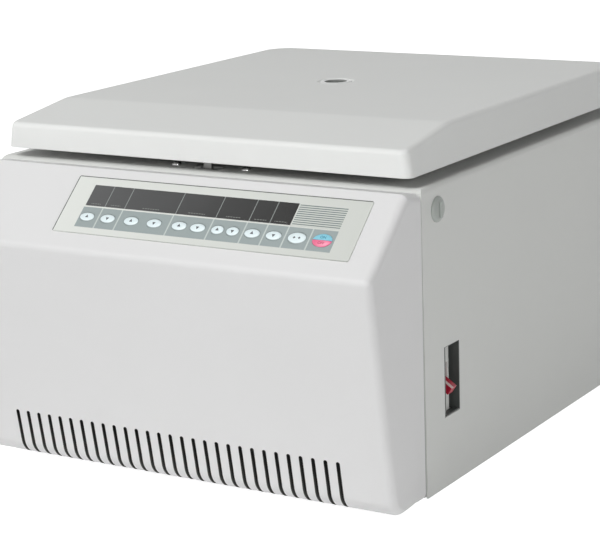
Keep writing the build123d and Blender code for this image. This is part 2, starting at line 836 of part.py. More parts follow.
# ------------------------------------------------------------------ rotor
# Drive shaft: runs in the motor and ends in a splined spindle above the rotor's seat.
with BuildPart() as drive_shaft:
    with BuildSketch(round_plane(motor_bore_foot + shaft_end_gap)):
        Circle(shaft_radius)
    extrude(amount=rotor_seat - motor_bore_foot - shaft_end_gap)
    with BuildSketch(round_plane(rotor_seat)):
        RegularPolygon(spindle_radius, small_sides)
    extrude(amount=hub_height)
write_part(drive_shaft, "drive_shaft")

# Rotor: a round plate with a hub.
with BuildPart() as rotor_plate:
    with BuildSketch(round_plane(rotor_web_bottom)):
        RegularPolygon(rim_radius, ring_sides)
    extrude(amount=rotor_web)
    with BuildSketch(round_plane(rotor_seat)):
        RegularPolygon(hub_radius, round_sides)
    extrude(amount=hub_height)
    with BuildSketch(round_plane(rotor_seat)):
        RegularPolygon(spindle_radius + fixed_tolerance, small_sides)
    extrude(amount=hub_height, mode=Mode.SUBTRACT)
write_part(rotor_plate, "rotor_plate")

# Knob that holds the rotor down on the shaft.
with BuildPart() as rotor_nut:
    with BuildSketch(round_plane(rotor_seat + hub_height)):
        RegularPolygon(nut_radius, nut_sides)
    extrude(amount=nut_height)
write_part(rotor_nut, "rotor_nut")

# Twelve stations stand round the rotor: outermost a spring clip, then the glass slide, the filter
# card and the sample funnel, whose spout points at the slide.
with BuildPart() as slide_clips:
    with BuildSketch(round_plane(station_bottom)):
        with PolarLocations(station_radius + clip_sheet - clip_ear / 2, station_count):
            Rectangle(clip_ear, clip_width)
        with PolarLocations(station_radius - clip_ear / 2, station_count):
            Rectangle(clip_ear, clip_width - 2 * clip_sheet, mode=Mode.SUBTRACT)
    extrude(amount=clip_height)
write_part(slide_clips, "slide_clips")

with BuildPart() as glass_slides:
    with BuildSketch(round_plane(station_bottom)):
        with PolarLocations(station_radius - slide_thickness / 2, station_count):
            Rectangle(slide_thickness, slide_width)
    extrude(amount=slide_length)
write_part(glass_slides, "glass_slides")

card_radius = station_radius - slide_thickness - card_thickness / 2
with BuildPart() as filter_cards:
    with BuildSketch(round_plane(station_bottom)):
        with PolarLocations(card_radius, station_count):
            Rectangle(card_thickness, slide_width)
    extrude(amount=card_height)
write_part(filter_cards, "filter_cards")

# Each funnel: a clamping plate, a spout and a cup that is open at the top.
funnel_face = station_radius - slide_thickness - card_thickness
cup_place = funnel_face - cup_reach
with BuildPart() as sample_funnels:
    with BuildSketch(round_plane(station_bottom)):
        with PolarLocations(funnel_face - funnel_plate_thickness / 2, station_count):
            Rectangle(funnel_plate_thickness, funnel_plate_width)
    extrude(amount=funnel_plate_height)
    with BuildSketch(round_plane(station_bottom + spout_height)):
        with PolarLocations(funnel_face - spout_length / 2, station_count):
            Rectangle(spout_length, spout_size)
    extrude(amount=spout_length)
    with BuildSketch(round_plane(station_bottom + spout_height)):
        with PolarLocations(cup_place, station_count):
            RegularPolygon(cup_radius, cup_sides)
    extrude(amount=cup_height)
    with BuildSketch(round_plane(station_bottom + spout_height + 2 * cup_wall)):
        with PolarLocations(cup_place, station_count):
            RegularPolygon(cup_radius - cup_wall, cup_sides)
    extrude(amount=cup_height, mode=Mode.SUBTRACT)
write_part(sample_funnels, "sample_funnels")

# ------------------------------------------------------------------ lid lock
# Lock case: a plate under the deck with a hanging wall that carries the pawl's pivot and the solenoid.
with BuildPart() as lock_case:
    with BuildSketch(Plane.XY.offset(deck_under)):
        with Locations((lock_left, lock_wall_front)):
            Rectangle(lock_right - lock_left, lock_back - lock_wall_front, align=(Align.MIN, Align.MIN))
        with Locations((0, lock_y)):
            Rectangle(slot_length, slot_width, mode=Mode.SUBTRACT)
    extrude(amount=-lock_plate)
    with BuildSketch(Plane.XZ.offset(-lock_wall_front)):
        with Locations((lock_left, deck_under)):
            Rectangle(lock_right - lock_left, lock_depth, align=(Align.MIN, Align.MAX))
    extrude(amount=-lock_plate)
    with BuildSketch(Plane.XZ.offset(-lock_wall_front - lock_plate)):
        with Locations((pawl_pivot_x, pawl_pivot_z)):
            Circle(pawl_pin_radius)
    extrude(amount=-(lock_y + pawl_thickness / 2 + pawl_pin_end - lock_wall_front - lock_plate))
    with BuildSketch(Plane.YZ.offset(lock_right - lock_plate)):
        rod_guide()
    extrude(amount=lock_plate)
write_part(lock_case, "lock_case")

# Pawl: swings on the lock's pivot until its nose lies over the striker's shoulder.
with BuildPart() as lock_pawl:
    with BuildSketch(Plane.XZ.offset(-lock_y - pawl_thickness / 2)):
        nose_top = pawl_nose_bottom + pawl_nose_height
        with BuildLine():
            Polyline(
                (pawl_pivot_x - pawl_reach, pawl_nose_bottom),
                (pawl_pivot_x - pawl_reach, nose_top),
                (pawl_pivot_x + pawl_arm / 2, nose_top),
                (pawl_pivot_x + pawl_arm / 2, pawl_pivot_z),
                (pawl_pivot_x + pawl_arm / 2 - pawl_tail_taper, pawl_pivot_z - pawl_tail),
                (pawl_pivot_x - pawl_arm / 2, pawl_pivot_z - pawl_tail),
                (pawl_pivot_x - pawl_arm / 2, pawl_nose_bottom),
                close=True,
            )
        make_face()
        with Locations((pawl_pivot_x, pawl_pivot_z)):
            Circle(pawl_pin_radius + running_clearance, mode=Mode.SUBTRACT)
    extrude(amount=pawl_thickness)
write_part(lock_pawl, "lock_pawl")

plunger_z = pawl_pivot_z - plunger_drop
plunger_left = pawl_pivot_x + pawl_arm / 2 + plunger_gap
with BuildPart() as solenoid_coil:
    coil_depth = 2 * (lock_y - lock_wall_front - lock_plate)
    with BuildSketch(Plane.YZ.offset(coil_left)):
        with Locations((lock_y, plunger_z)):
            Rectangle(coil_depth, coil_height)
            Circle(plunger_radius + rod_clearance, mode=Mode.SUBTRACT)
    extrude(amount=coil_length)
write_part(solenoid_coil, "solenoid_coil")

with BuildPart() as solenoid_plunger:
    with BuildSketch(Plane.YZ.offset(plunger_left)):
        with Locations((lock_y, plunger_z)):
            Circle(plunger_radius)
    extrude(amount=coil_left + coil_length - plunger_left)
write_part(solenoid_plunger, "solenoid_plunger")

# Release rod: its tab stands beside the pawl, and its far end waits behind the side plug.
tab_right = pawl_pivot_x - pawl_arm / 2 - tab_gap
with BuildPart() as release_rod:
    with BuildSketch(Plane.YZ.offset(tab_right - tab_thickness)):
        with Locations((rod_y, rod_z)):
            Circle(rod_radius)
    extrude(amount=rod_end - tab_right + tab_thickness)
    with BuildSketch(Plane.YZ.offset(tab_right - tab_thickness)):
        with Locations((lock_y - pawl_thickness / 4, rod_z)):
            tab_length = rod_y - lock_y + pawl_thickness / 4 + rod_radius
            Rectangle(tab_length, 2 * rod_radius, align=(Align.MIN, Align.CENTER))
    extrude(amount=tab_thickness)
write_part(release_rod, "release_rod")

# Heads of the two screws that hold the lock case under the deck.
with BuildPart() as lock_screws:
    with BuildSketch(Plane.XY.offset(deck_height)):
        with Locations(*lock_screw_places):
            RegularPolygon(screw_head_radius, small_sides)
    extrude(amount=screw_head_height)
    chamfer(edges().group_by(Axis.Z)[-1], screw_head_bevel)
write_part(lock_screws, "lock_screws")

# ------------------------------------------------------------------ right-hand side
# Circuit breaker: body on the pan's upright, its nose standing just behind the window in the case.
pivot_x = breaker_face - toggle_setback + toggle_radius + toggle_clearance
with BuildPart() as breaker_case:
    with BuildSketch(Plane.YZ.offset(breaker_back)):
        with Locations((window_y, window_z)):
            Rectangle(breaker_width, breaker_height)
    extrude(amount=breaker_length)
    with BuildSketch(Plane.YZ.offset(breaker_back)):
        with Locations((window_y, window_z)):
            Rectangle(breaker_width, nose_height)
    extrude(amount=breaker_length + nose_length)
    chamfer(faces().sort_by(Axis.X)[-1].edges(), breaker_bevel)
    with BuildSketch(Plane.YZ.offset(breaker_face)):
        with Locations((window_y, window_z)):
            Rectangle(toggle_width + 2 * key_clearance, toggle_slot)
    extrude(amount=-toggle_setback, mode=Mode.SUBTRACT)
    with BuildSketch(Plane.XZ.offset(-window_y - breaker_width / 2 + breaker_skin)):
        with Locations((pivot_x, window_z)):
            Circle(toggle_pin_radius)
    extrude(amount=breaker_width - 2 * breaker_skin)
write_part(breaker_case, "breaker_case")

with BuildPart() as breaker_toggle:
    with BuildSketch(Plane.XZ.offset(-window_y - toggle_width / 2)):
        with Locations((pivot_x, window_z)):
            RegularPolygon(toggle_radius, small_sides)
        with Locations(Location((pivot_x, window_z, 0), (0, 0, -toggle_angle))):
            Rectangle(toggle_reach, toggle_thickness, align=(Align.MIN, Align.CENTER))
        with Locations((pivot_x, window_z)):
            Circle(toggle_pin_radius + running_clearance, mode=Mode.SUBTRACT)
    extrude(amount=toggle_width)
write_part(breaker_toggle, "breaker_toggle")

# Plug over the emergency release: bevelled head outside the case and a stem through it.
with BuildPart() as side_plug:
    with BuildSketch(Plane.YZ.offset(side_x)):
        with Locations((plug_y, plug_z)):
            RegularPolygon(plug_head_radius, round_sides)
    extrude(amount=plug_head_height)
    chamfer(faces().sort_by(Axis.X)[-1].edges(), plug_bevel)
    with BuildSketch(Plane.YZ.offset(side_x)):
        with Locations((plug_y, plug_z)):
            RegularPolygon(plug_stem_radius, round_sides)
    extrude(amount=-plug_stem_length)
write_part(side_plug, "side_plug")

# ------------------------------------------------------------------ back, floor and feet
# Mains inlet: a flanged socket with three pins.
with BuildPart() as power_inlet:
    with BuildSketch(Plane.XZ.offset(-back_y)):
        with Locations((inlet_x, inlet_z)):
            Rectangle(*inlet_flange_size)
        chamfer(vertices(), inlet_corner)
    extrude(amount=-inlet_flange)
    with BuildSketch(Plane.XZ.offset(-back_y)):
        with Locations((inlet_x, inlet_z)):
            Rectangle(*inlet_body_size)
    extrude(amount=inlet_depth)
    with BuildSketch(Plane.XZ.offset(-back_y - inlet_flange)):
        with Locations((inlet_x, inlet_z)):
            Rectangle(*socket_size)
        chamfer(vertices().group_by(Axis.Y)[-1], inlet_corner)
    extrude(amount=socket_depth, mode=Mode.SUBTRACT)
    with BuildSketch(Plane.XZ.offset(-back_y - inlet_flange + socket_depth)):
        with Locations(
            (inlet_x - inlet_pin_spacing, inlet_z - inlet_pin_stagger),
            (inlet_x, inlet_z + inlet_pin_stagger),
            (inlet_x + inlet_pin_spacing, inlet_z - inlet_pin_stagger),
        ):
            Rectangle(*inlet_pin_size)
    extrude(amount=-inlet_pin_length)
write_part(power_inlet, "power_inlet")

# Transformer: a laminated core with two windows, and the winding round its middle limb.
core_x = core_inset - side_x
core_y = seam_y + core_setback
with BuildPart() as transformer:
    with BuildSketch(Plane.XZ.offset(-core_y)):
        with Locations((core_x, pan_top)):
            Rectangle(core_size[0], core_size[2], align=(Align.CENTER, Align.MIN))
        with Locations((core_x, pan_top + core_size[2] / 2)):
            with GridLocations(core_window_pitch, 1, 2, 1):
                Rectangle(*core_window, mode=Mode.SUBTRACT)
    extrude(amount=core_size[1] / 2, both=True)
    with BuildSketch(Plane.XY.offset(pan_top + (core_size[2] - core_window[1]) / 2)):
        with Locations((core_x, core_y)):
            Rectangle(core_size[0] / 2 + core_window[0], core_size[1] + 2 * winding_overhang)
    extrude(amount=core_window[1])
write_part(transformer, "transformer")

# Rubber feet under the floor pan, each narrower at its top.
with BuildPart() as rubber_feet:
    with BuildSketch(Plane.XY):
        with Locations(*foot_places):
            RegularPolygon(foot_radius, small_sides)
    extrude(amount=foot_height, taper=foot_taper)
write_part(rubber_feet, "rubber_feet")
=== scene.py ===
import json
import math

import bmesh
import bpy
from mathutils import Matrix, Vector


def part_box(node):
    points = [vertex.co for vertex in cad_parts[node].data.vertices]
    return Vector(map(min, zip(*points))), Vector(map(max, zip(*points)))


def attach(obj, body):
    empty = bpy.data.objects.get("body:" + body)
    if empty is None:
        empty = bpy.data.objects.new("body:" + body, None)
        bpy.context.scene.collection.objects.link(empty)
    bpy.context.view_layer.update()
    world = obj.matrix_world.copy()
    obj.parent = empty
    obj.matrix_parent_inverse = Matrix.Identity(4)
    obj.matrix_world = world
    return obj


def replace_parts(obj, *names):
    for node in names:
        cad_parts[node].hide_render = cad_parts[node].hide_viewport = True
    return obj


# A bench cytocentrifuge with its lid shut. Metres. +X is to the operator's right, +Y to the back and
# +Z up. The solids come from the frame; this script dresses them and adds their small pieces.
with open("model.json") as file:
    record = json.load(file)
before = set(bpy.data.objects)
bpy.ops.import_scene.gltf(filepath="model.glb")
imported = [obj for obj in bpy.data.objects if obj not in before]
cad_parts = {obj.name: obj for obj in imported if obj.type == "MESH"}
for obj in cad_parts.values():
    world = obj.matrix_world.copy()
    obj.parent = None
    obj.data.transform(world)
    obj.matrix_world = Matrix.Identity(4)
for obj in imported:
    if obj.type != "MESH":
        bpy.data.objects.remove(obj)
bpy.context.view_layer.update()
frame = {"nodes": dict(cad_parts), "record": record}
nodes = frame["nodes"]
subparts = frame["record"]["subparts"]
slot_of = {part["node"]: part["material_slot"] for part in subparts}
bodies = frame["record"]["behaviour"]["bodies"]
body_of = {node: body for body, members in bodies.items() for node in members}

mm = 0.001

# ------------------------------------------------------------------ places on the case
wrap_low, wrap_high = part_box("case_wrap")
lid_low, lid_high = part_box("lid_shell")
glass_low, glass_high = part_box("port_window")
bowl_low, bowl_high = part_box("chamber_bowl")
toggle_low, toggle_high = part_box("breaker_toggle")
deck_z = wrap_high.z
side_x = wrap_high.x
seam_y = wrap_low.y - 0.8 * mm
chamber_y = (bowl_low.y + bowl_high.y) / 2
lid_crease_y = lid_low.y + 79.15 * mm

# The sloping control face: its top edge, and how steeply it falls towards the front.
nose_y = -272.5 * mm
nose_z = 216.7 * mm
slope_top_y = seam_y - 21.6 * mm
slope_angle = math.atan2(deck_z - nose_z, slope_top_y - nose_y)
key_stand = 1.4 * mm
key_foot = -2.0 * mm

# The vent slots in the bezel's foot.
vent_count = 29
vent_pitch = 11.86 * mm
vent_width = 3.5 * mm
vent_top = 56.5 * mm

# The breaker's toggle: its pivot in the window, and how far its lever points down.
pivot_x = 199.9 * mm
pivot_y = (toggle_low.y + toggle_high.y) / 2
pivot_z = 104.0 * mm
toggle_tilt = math.radians(34.4)

# The printed panel, in millimetres from the middle and down from the slope's top edge.
panel_left, panel_right = -103.0, 189.0
panel_top, panel_bottom = 9.5, 69.0
display_top, display_bottom = 18.0, 40.0
display_edges = (-82.0, -61.5, -41.0, 11.5, 51.7, 84.0, 104.0, 123.5)
label_widths = (10.0, 10.0, 17.0, 17.0, 14.0, 12.0, 12.0)
label_top, label_bottom = 37.2, 38.0
label_pitch, label_dash = 2.6, 2.0
keys_left, keys_right = -82.6, 169.6
keys_top, keys_bottom = 41.5, 62.5
key_bars = (-62.5, -41.7, 10.5, 50.8, 83.6, 103.6, 123.6, 146.5)
stripes_left, stripes_right = 124.6, 169.5
stripe_pitch, stripe_width = 2.1, 1.1
recess_shadow_width, key_bar_width, cell_bar_width = 0.9, 1.3, 0.8
key_row = 51.6


def panel_frame(across, down, proud=0.0):
    """The turn and shift that lay a piece drawn flat at the origin on the control face."""
    place = Vector((
        across * mm,
        slope_top_y - down * mm * math.cos(slope_angle) - proud * math.sin(slope_angle),
        deck_z - down * mm * math.sin(slope_angle) + proud * math.cos(slope_angle),
    ))
    return Matrix.Translation(place) @ Matrix.Rotation(slope_angle, 4, "X")


def at(x, y, z, facing="up"):
    """A place whose Z points up, down, back or to the right."""
    quarters, axis = {"up": (0, "X"), "down": (2, "X"), "back": (-1, "X"), "right": (1, "Y")}[facing]
    return Matrix.Translation((x, y, z)) @ Matrix.Rotation(quarters * math.pi / 2, 4, axis)


# ------------------------------------------------------------------ finishes
class Value:
    """A shader socket that works in Python expressions."""

    def __init__(self, shading, socket):
        self.shading = shading
        self.socket = socket

    def join(self, operation, first, second):
        return self.shading.node("ShaderNodeMath", {"operation": operation}, {0: first, 1: second})

    def __add__(self, other):
        return self.join("ADD", self, other)

    def __radd__(self, other):
        return self.join("ADD", other, self)

    def __sub__(self, other):
        return self.join("SUBTRACT", self, other)

    def __rsub__(self, other):
        return self.join("SUBTRACT", other, self)

    def __mul__(self, other):
        return self.join("MULTIPLY", self, other)

    def __rmul__(self, other):
        return self.join("MULTIPLY", other, self)

    def __truediv__(self, other):
        return self.join("DIVIDE", self, other)

    def __mod__(self, other):
        return self.join("FLOORED_MODULO", self, other)

    def __gt__(self, other):
        return self.join("GREATER_THAN", self, other)

    def __lt__(self, other):
        return self.join("LESS_THAN", self, other)

    def between(self, low, high):
        return (self > low) * (self < high)


class Shading:
    """A node tree, filled from plain calls."""

    def __init__(self, tree):
        self.tree = tree

    def fill(self, socket, value):
        """Put a number, a colour or a link on a socket."""
        if isinstance(value, Value):
            self.tree.links.new(value.socket, socket)
        else:
            socket.default_value = value

    def node(self, kind, settings=None, values=None, output=0):
        """Add a node: its settings first, then its sockets' values or links."""
        node = self.tree.nodes.new(kind)
        for setting, value in (settings or {}).items():
            setattr(node, setting, value)
        for socket, value in (values or {}).items():
            self.fill(node.inputs[socket], value)
        return Value(self, node.outputs[output])

    def mix(self, amount, first, second):
        """The first colour where amount is 0 and the second where it is 1."""
        return self.node("ShaderNodeMix", {"data_type": "RGBA"}, {0: amount, 6: first, 7: second}, 2)

    def looks(self):
        """1 for what is seen straight, in a gloss or through glass, and 0 for light on other things."""
        kinds = ("Is Camera Ray", "Is Glossy Ray", "Is Transmission Ray")
        seen, glossed, passed = [self.node("ShaderNodeLightPath", output=kind) for kind in kinds]
        capped = {"operation": "ADD", "use_clamp": True}
        return self.node("ShaderNodeMath", capped, {0: seen + glossed, 1: passed})


class Finish(Shading):
    """One material: its surface, and the nodes that vary it."""

    def __init__(self, name, colour, roughness, **surface):
        self.material = bpy.data.materials.new(name)
        self.material.use_nodes = True
        super().__init__(self.material.node_tree)
        self.surface = self.tree.nodes["Principled BSDF"]
        self.colour = (*colour, 1.0)
        self.set("Base Color", self.colour)
        self.set("Roughness", roughness)
        for socket, value in surface.items():
            self.set(socket.replace("_", " "), value)

    def set(self, socket, value):
        self.fill(self.surface.inputs[socket], value)

    def place(self):
        """The object's own coordinates."""
        return self.node("ShaderNodeTexCoord", output="Object")

    def axes(self):
        """The object's own coordinates as three values."""
        split = self.node("ShaderNodeSeparateXYZ", values={0: self.place()}).socket.node
        return [Value(self, socket) for socket in split.outputs]

    def noise(self, scale, detail=3.0):
        """Soft variation between 0 and 1, scale times a metre."""
        values = {"Vector": self.place(), "Scale": scale, "Detail": detail}
        return self.node("ShaderNodeTexNoise", values=values)

    def shade(self, factor):
        """The finish's own colour made lighter or darker."""
        return tuple(channel * factor for channel in self.colour[:3]) + (1.0,)

    def relief(self, height, distance, strength):
        """Bump from a height between 0 and 1."""
        values = {"Height": height, "Distance": distance, "Strength": strength}
        self.set("Normal", self.node("ShaderNodeBump", values=values, output="Normal"))

    def mottle(self, scale, depth):
        """Vary the base colour by a small share, and give the varied colour."""
        mottled = self.mix(self.noise(scale, 4.0), self.shade(1 - depth), self.shade(1 + depth))
        self.set("Base Color", mottled)
        return mottled

    def orange_peel(self, roughness):
        """The fine waves and the uneven gloss of stoved paint."""
        self.set("Roughness", roughness - 0.05 + 0.1 * self.noise(60.0))
        self.relief(self.noise(1500.0, 2.0), 0.05 * mm, 0.35)


def powder_coat(name, colour, roughness=0.5, gloss=0.35):
    """Stoved paint."""
    finish = Finish(name, colour, roughness, Specular_IOR_Level=gloss)
    finish.mottle(9.0, 0.015)
    finish.orange_peel(roughness)
    return finish.material


def vented_paint(name, colour):
    """The bezel's paint, with painted shade on the walls of its vent slots: near black at the top, paler
    towards the foot.
    """
    finish = Finish(name, colour, 0.5, Specular_IOR_Level=0.35)
    painted = finish.mottle(9.0, 0.015)
    across, along, height = finish.axes()
    aside = ((across / vent_pitch + 0.5) % 1.0 - 0.5) * vent_pitch
    above = height.join("MAXIMUM", height - (vent_top - vent_width / 2), 0.0)
    slots = aside * aside + above * above < (0.53 * vent_width) ** 2
    row_end = vent_count * vent_pitch / 2
    row = across.between(-row_end, row_end) * (along < -225 * mm)
    # Painted shade in the slots: near black at their tops, paler lower down where more light reaches.
    depth = (56 * mm - height) / (34 * mm)
    slot_shade = finish.mix(depth, (0.004, 0.004, 0.004, 1.0), (0.09, 0.09, 0.085, 1.0))
    finish.set("Base Color", finish.mix(slots * row, painted, slot_shade))
    finish.orange_peel(0.5)
    return finish.material


def moulded(name, colour, roughness=0.45, grain=2200.0, depth=0.03):
    """Moulded plastic with a spark-eroded grain."""
    finish = Finish(name, colour, roughness)
    finish.mottle(14.0, 0.02)
    finish.set("Roughness", roughness - 0.06 + 0.12 * finish.noise(90.0))
    finish.relief(finish.noise(grain, 2.0), depth * mm, 0.4)
    return finish.material


def metal(name, colour, roughness):
    """Bare metal with a drawn or rolled grain."""
    finish = Finish(name, colour, roughness, Metallic=1.0)
    grain = finish.noise(700.0, 4.0)
    finish.set("Base Color", finish.mix(grain, finish.shade(0.88), finish.colour))
    finish.set("Roughness", roughness - 0.08 + 0.16 * grain)
    finish.relief(grain, 0.02 * mm, 0.3)
    return finish.material


def turned(name, colour, roughness):
    """Bare metal with the rings of a spun bowl or a turned plate round the chamber's axis."""
    finish = Finish(name, colour, roughness, Metallic=1.0)
    across, along, height = finish.axes()
    along = along - chamber_y
    radius = finish.node("ShaderNodeMath", {"operation": "SQRT"}, {0: across * across + along * along})
    reach = {"W": radius + height, "Scale": 2600.0}
    rings = finish.node("ShaderNodeTexNoise", {"noise_dimensions": "1D"}, reach)
    finish.set("Base Color", finish.mix(rings, finish.shade(0.86), finish.colour))
    finish.set("Roughness", roughness - 0.06 + 0.14 * rings)
    finish.relief(rings, 0.02 * mm, 0.3)
    return finish.material


def rubber(name, colour, roughness=0.75):
    """Moulded rubber or foam with a dusty bloom."""
    finish = Finish(name, colour, roughness)
    finish.mottle(120.0, 0.12)
    finish.relief(finish.noise(1800.0), 0.04 * mm, 0.5)
    return finish.material


def see_through(name, colour):
    """Clear glass with faint smears."""
    finish = Finish(name, colour, 0.03, Transmission_Weight=1.0, IOR=1.5)
    finish.set("Roughness", 0.03 + 0.05 * finish.noise(80.0))
    return finish.material


def down_the_slope(finish):
    """Millimetres across the control face and down it, as values."""
    across, along, height = finish.axes()
    back = slope_top_y - along
    drop = deck_z - height
    return across / mm, back * (math.cos(slope_angle) / mm) + drop * (math.sin(slope_angle) / mm)


def bars(across, places, width):
    """Where thin upright bars are printed at some places across."""
    shown = 0.0
    for place in places:
        shown = shown + across.between(place - width / 2, place + width / 2)
    return shown


def printed_film(name):
    """The panel's film: a grey field under the keys, pale bars between them, a block of stripes, and painted
    shadow along its top and left edges.
    """
    finish = Finish(name, (0.71, 0.73, 0.695), 0.38)
    across, down = down_the_slope(finish)
    field = (0.275, 0.325, 0.325, 1.0)
    pale = (0.50, 0.55, 0.53, 1.0)
    ink_and_shadow = (0.07, 0.08, 0.07, 1.0)
    keys = across.between(keys_left, keys_right) * down.between(keys_top, keys_bottom)
    fade = (across - panel_left) / (panel_right - panel_left)
    colour = finish.mix(fade, finish.colour, (0.58, 0.60, 0.565, 1.0))
    colour = finish.mix(keys, colour, field)
    colour = finish.mix(keys * bars(across, key_bars, key_bar_width), colour, pale)
    block = across.between(stripes_left, stripes_right) * down.between(display_top, display_bottom)
    colour = finish.mix(block * (down % stripe_pitch < stripe_width), colour, (0.16, 0.20, 0.19, 1.0))
    # Painted shadow: dark lines along the top and left edges, where the recess's edges cast shade; then a
    # fainter dark line along the bottom.
    top_shadow = down.between(panel_top, panel_top + recess_shadow_width)
    left_shadow = across.between(panel_left, panel_left + recess_shadow_width)
    colour = finish.mix(top_shadow + left_shadow, colour, ink_and_shadow)
    colour = finish.mix(0.35 * down.between(panel_bottom - 0.5, panel_bottom), colour, ink_and_shadow)
    finish.set("Base Color", finish.mix(0.06 * finish.noise(30.0), colour, (0.4, 0.4, 0.38, 1.0)))
    finish.set("Roughness", 0.34 + 0.1 * finish.noise(300.0))
    finish.relief(finish.noise(2600.0), 0.01 * mm, 0.4)
    return finish.material


def display_film(name):
    """The smoked strip over the digits: a painted reflection that is lighter at the left, pale bars between
    its cells, and pale dashes at their feet.
    """
    finish = Finish(name, (0.030, 0.031, 0.033), 0.22, Specular_IOR_Level=0.35)
    across, down = down_the_slope(finish)
    dashes = 0.0
    for left, right, width in zip(display_edges, display_edges[1:], label_widths):
        middle = (left + right) / 2
        dashes = dashes + across.between(middle - width / 2, middle + width / 2)
    dashes = dashes * down.between(label_top, label_bottom) * (across % label_pitch < label_dash)
    # Painted reflection: the smoke is lighter at the left and darker at the right, with some noise.
    fade = (across - display_edges[0]) / (display_edges[-1] - display_edges[0])
    fade = fade + 0.3 * finish.noise(14.0, 2.0) - 0.15
    smoke_and_sheen = finish.mix(fade, (0.085, 0.087, 0.088, 1.0), (0.007, 0.007, 0.006, 1.0))
    colour = finish.mix(dashes, smoke_and_sheen, (0.17, 0.18, 0.17, 1.0))
    cell_bars = bars(across, display_edges[1:-1], cell_bar_width)
    colour = finish.mix(cell_bars, colour, (0.24, 0.26, 0.25, 1.0))
    finish.set("Base Color", colour)
    finish.set("Roughness", 0.2 + 0.08 * finish.noise(200.0))
    return finish.material


def circuit_board(name):
    """Green lacquered board with its copper showing through."""
    finish = Finish(name, (0.02, 0.12, 0.05), 0.35)
    finish.mottle(200.0, 0.3)
    finish.relief(finish.noise(900.0), 0.05 * mm, 0.4)
    return finish.material


def lever_plastic(name):
    """Red moulding, with a pale painted highlight along the lever's upper edge."""
    finish = Finish(name, (0.42, 0.012, 0.035), 0.35)
    out, along, height = finish.axes()
    # Painted highlight: a pale pink strip along the lever's upper edge, where light catches it.
    above = (out - pivot_x) * math.sin(toggle_tilt) + (height - pivot_z) * math.cos(toggle_tilt)
    lever_highlight = (above > 3.2 * mm) * (along < pivot_y - 1.55 * mm)
    finish.set("Base Color", finish.mix(lever_highlight, finish.colour, (0.72, 0.55, 0.53, 1.0)))
    finish.set("Roughness", 0.3 + 0.1 * finish.noise(200.0))
    finish.relief(finish.noise(1500.0), 0.02 * mm, 0.3)
    return finish.material


finishes = {
    "case_paint": powder_coat("case_paint", (0.65, 0.66, 0.64)),
    "bezel_plastic": vented_paint("bezel_plastic", (0.71, 0.71, 0.71)),
    "overlay_film": printed_film("overlay_film"),
    "display_film": display_film("display_film"),
    "key_film": moulded("key_film", (0.74, 0.84, 0.86), 0.35, 3000.0, 0.01),
    "start_film": moulded("start_film", (0.24, 0.60, 0.74), 0.35, 3000.0, 0.01),
    "stop_film": moulded("stop_film", (0.80, 0.15, 0.28), 0.35, 3000.0, 0.01),
    "circuit_board": circuit_board("circuit_board"),
    "inner_steel": metal("inner_steel", (0.55, 0.56, 0.57), 0.45),
    "bowl_steel": turned("bowl_steel", (0.66, 0.66, 0.65), 0.32),
    "bright_steel": metal("bright_steel", (0.74, 0.74, 0.73), 0.25),
    "motor_alloy": turned("motor_alloy", (0.60, 0.61, 0.62), 0.42),
    "seal_rubber": rubber("seal_rubber", (0.035, 0.035, 0.035)),
    "black_plastic": moulded("black_plastic", (0.025, 0.025, 0.026), 0.5),
    "breaker_plastic": moulded("breaker_plastic", (0.62, 0.63, 0.61), 0.5),
    "toggle_plastic": lever_plastic("toggle_plastic"),
    "plug_plastic": moulded("plug_plastic", (0.36, 0.385, 0.365), 0.45),
    "port_glass": see_through("port_glass", (0.93, 0.95, 0.94)),
    "slide_glass": see_through("slide_glass", (0.90, 0.95, 0.93)),
    "card_paper": moulded("card_paper", (0.82, 0.81, 0.78), 0.85, 1500.0, 0.08),
    "funnel_plastic": moulded("funnel_plastic", (0.85, 0.85, 0.83), 0.4),
}
lid_paint = powder_coat("lid_paint", (0.80, 0.81, 0.795), 0.6, 0.015)
# Painted shade: the grey of the strips in the side grooves.
seam_shade_grey = rubber("seam_shade_grey", (0.38, 0.39, 0.375), 0.6)
mark_ink = moulded("mark_ink", (0.07, 0.08, 0.09), 0.5, 3000.0, 0.01)
start_ink = moulded("start_ink", (0.03, 0.20, 0.30), 0.5, 3000.0, 0.01)
stop_ink = moulded("stop_ink", (0.38, 0.02, 0.09), 0.5, 3000.0, 0.01)
grommet_grey = rubber("grommet_grey", (0.17, 0.18, 0.17), 0.5)
ring_white = moulded("ring_white", (0.66, 0.67, 0.66), 0.3)
field_grey = moulded("field_grey", (0.275, 0.325, 0.325), 0.38, 2600.0, 0.01)
zinc_plate = metal("zinc_plate", (0.34, 0.34, 0.33), 0.4)
# Painted shade: the near-black of the frame in the breaker's window.
window_shade_grey = moulded("window_shade_grey", (0.05, 0.055, 0.052), 0.5)
# Painted shade: the black of the sheet behind the vents.
vent_shade_black = rubber("vent_shade_black", (0.02, 0.02, 0.02), 0.9)

for part in subparts:
    node = nodes[part["node"]]
    node.data.materials.clear()
    node.data.materials.append(finishes[part["material_slot"]])


# ------------------------------------------------------------------ how pieces are made
def add_piece(bm, name, body, slot, finish=None, sharp=30.0):
    """Turn a finished bmesh into a piece that rides on a body; edges steeper than sharp stay crisp."""
    bmesh.ops.recalc_face_normals(bm, faces=bm.faces)
    mesh = bpy.data.meshes.new(name)
    bm.to_mesh(mesh)
    bm.free()
    mesh.materials.append(finish or finishes[slot])
    mesh.shade_smooth()
    mesh.set_sharp_from_angle(angle=math.radians(sharp))
    piece = bpy.data.objects.new(name, mesh)
    bpy.context.scene.collection.objects.link(piece)
    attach(piece, body)
    return piece


def round_over(bm, edges, width, steps):
    """Ease some edges of a bmesh."""
    bmesh.ops.bevel(
        bm,
        geom=edges,
        offset=width,
        segments=steps,
        profile=0.5,
        affect="EDGES",
        material=-1,
        clamp_overlap=True,
    )


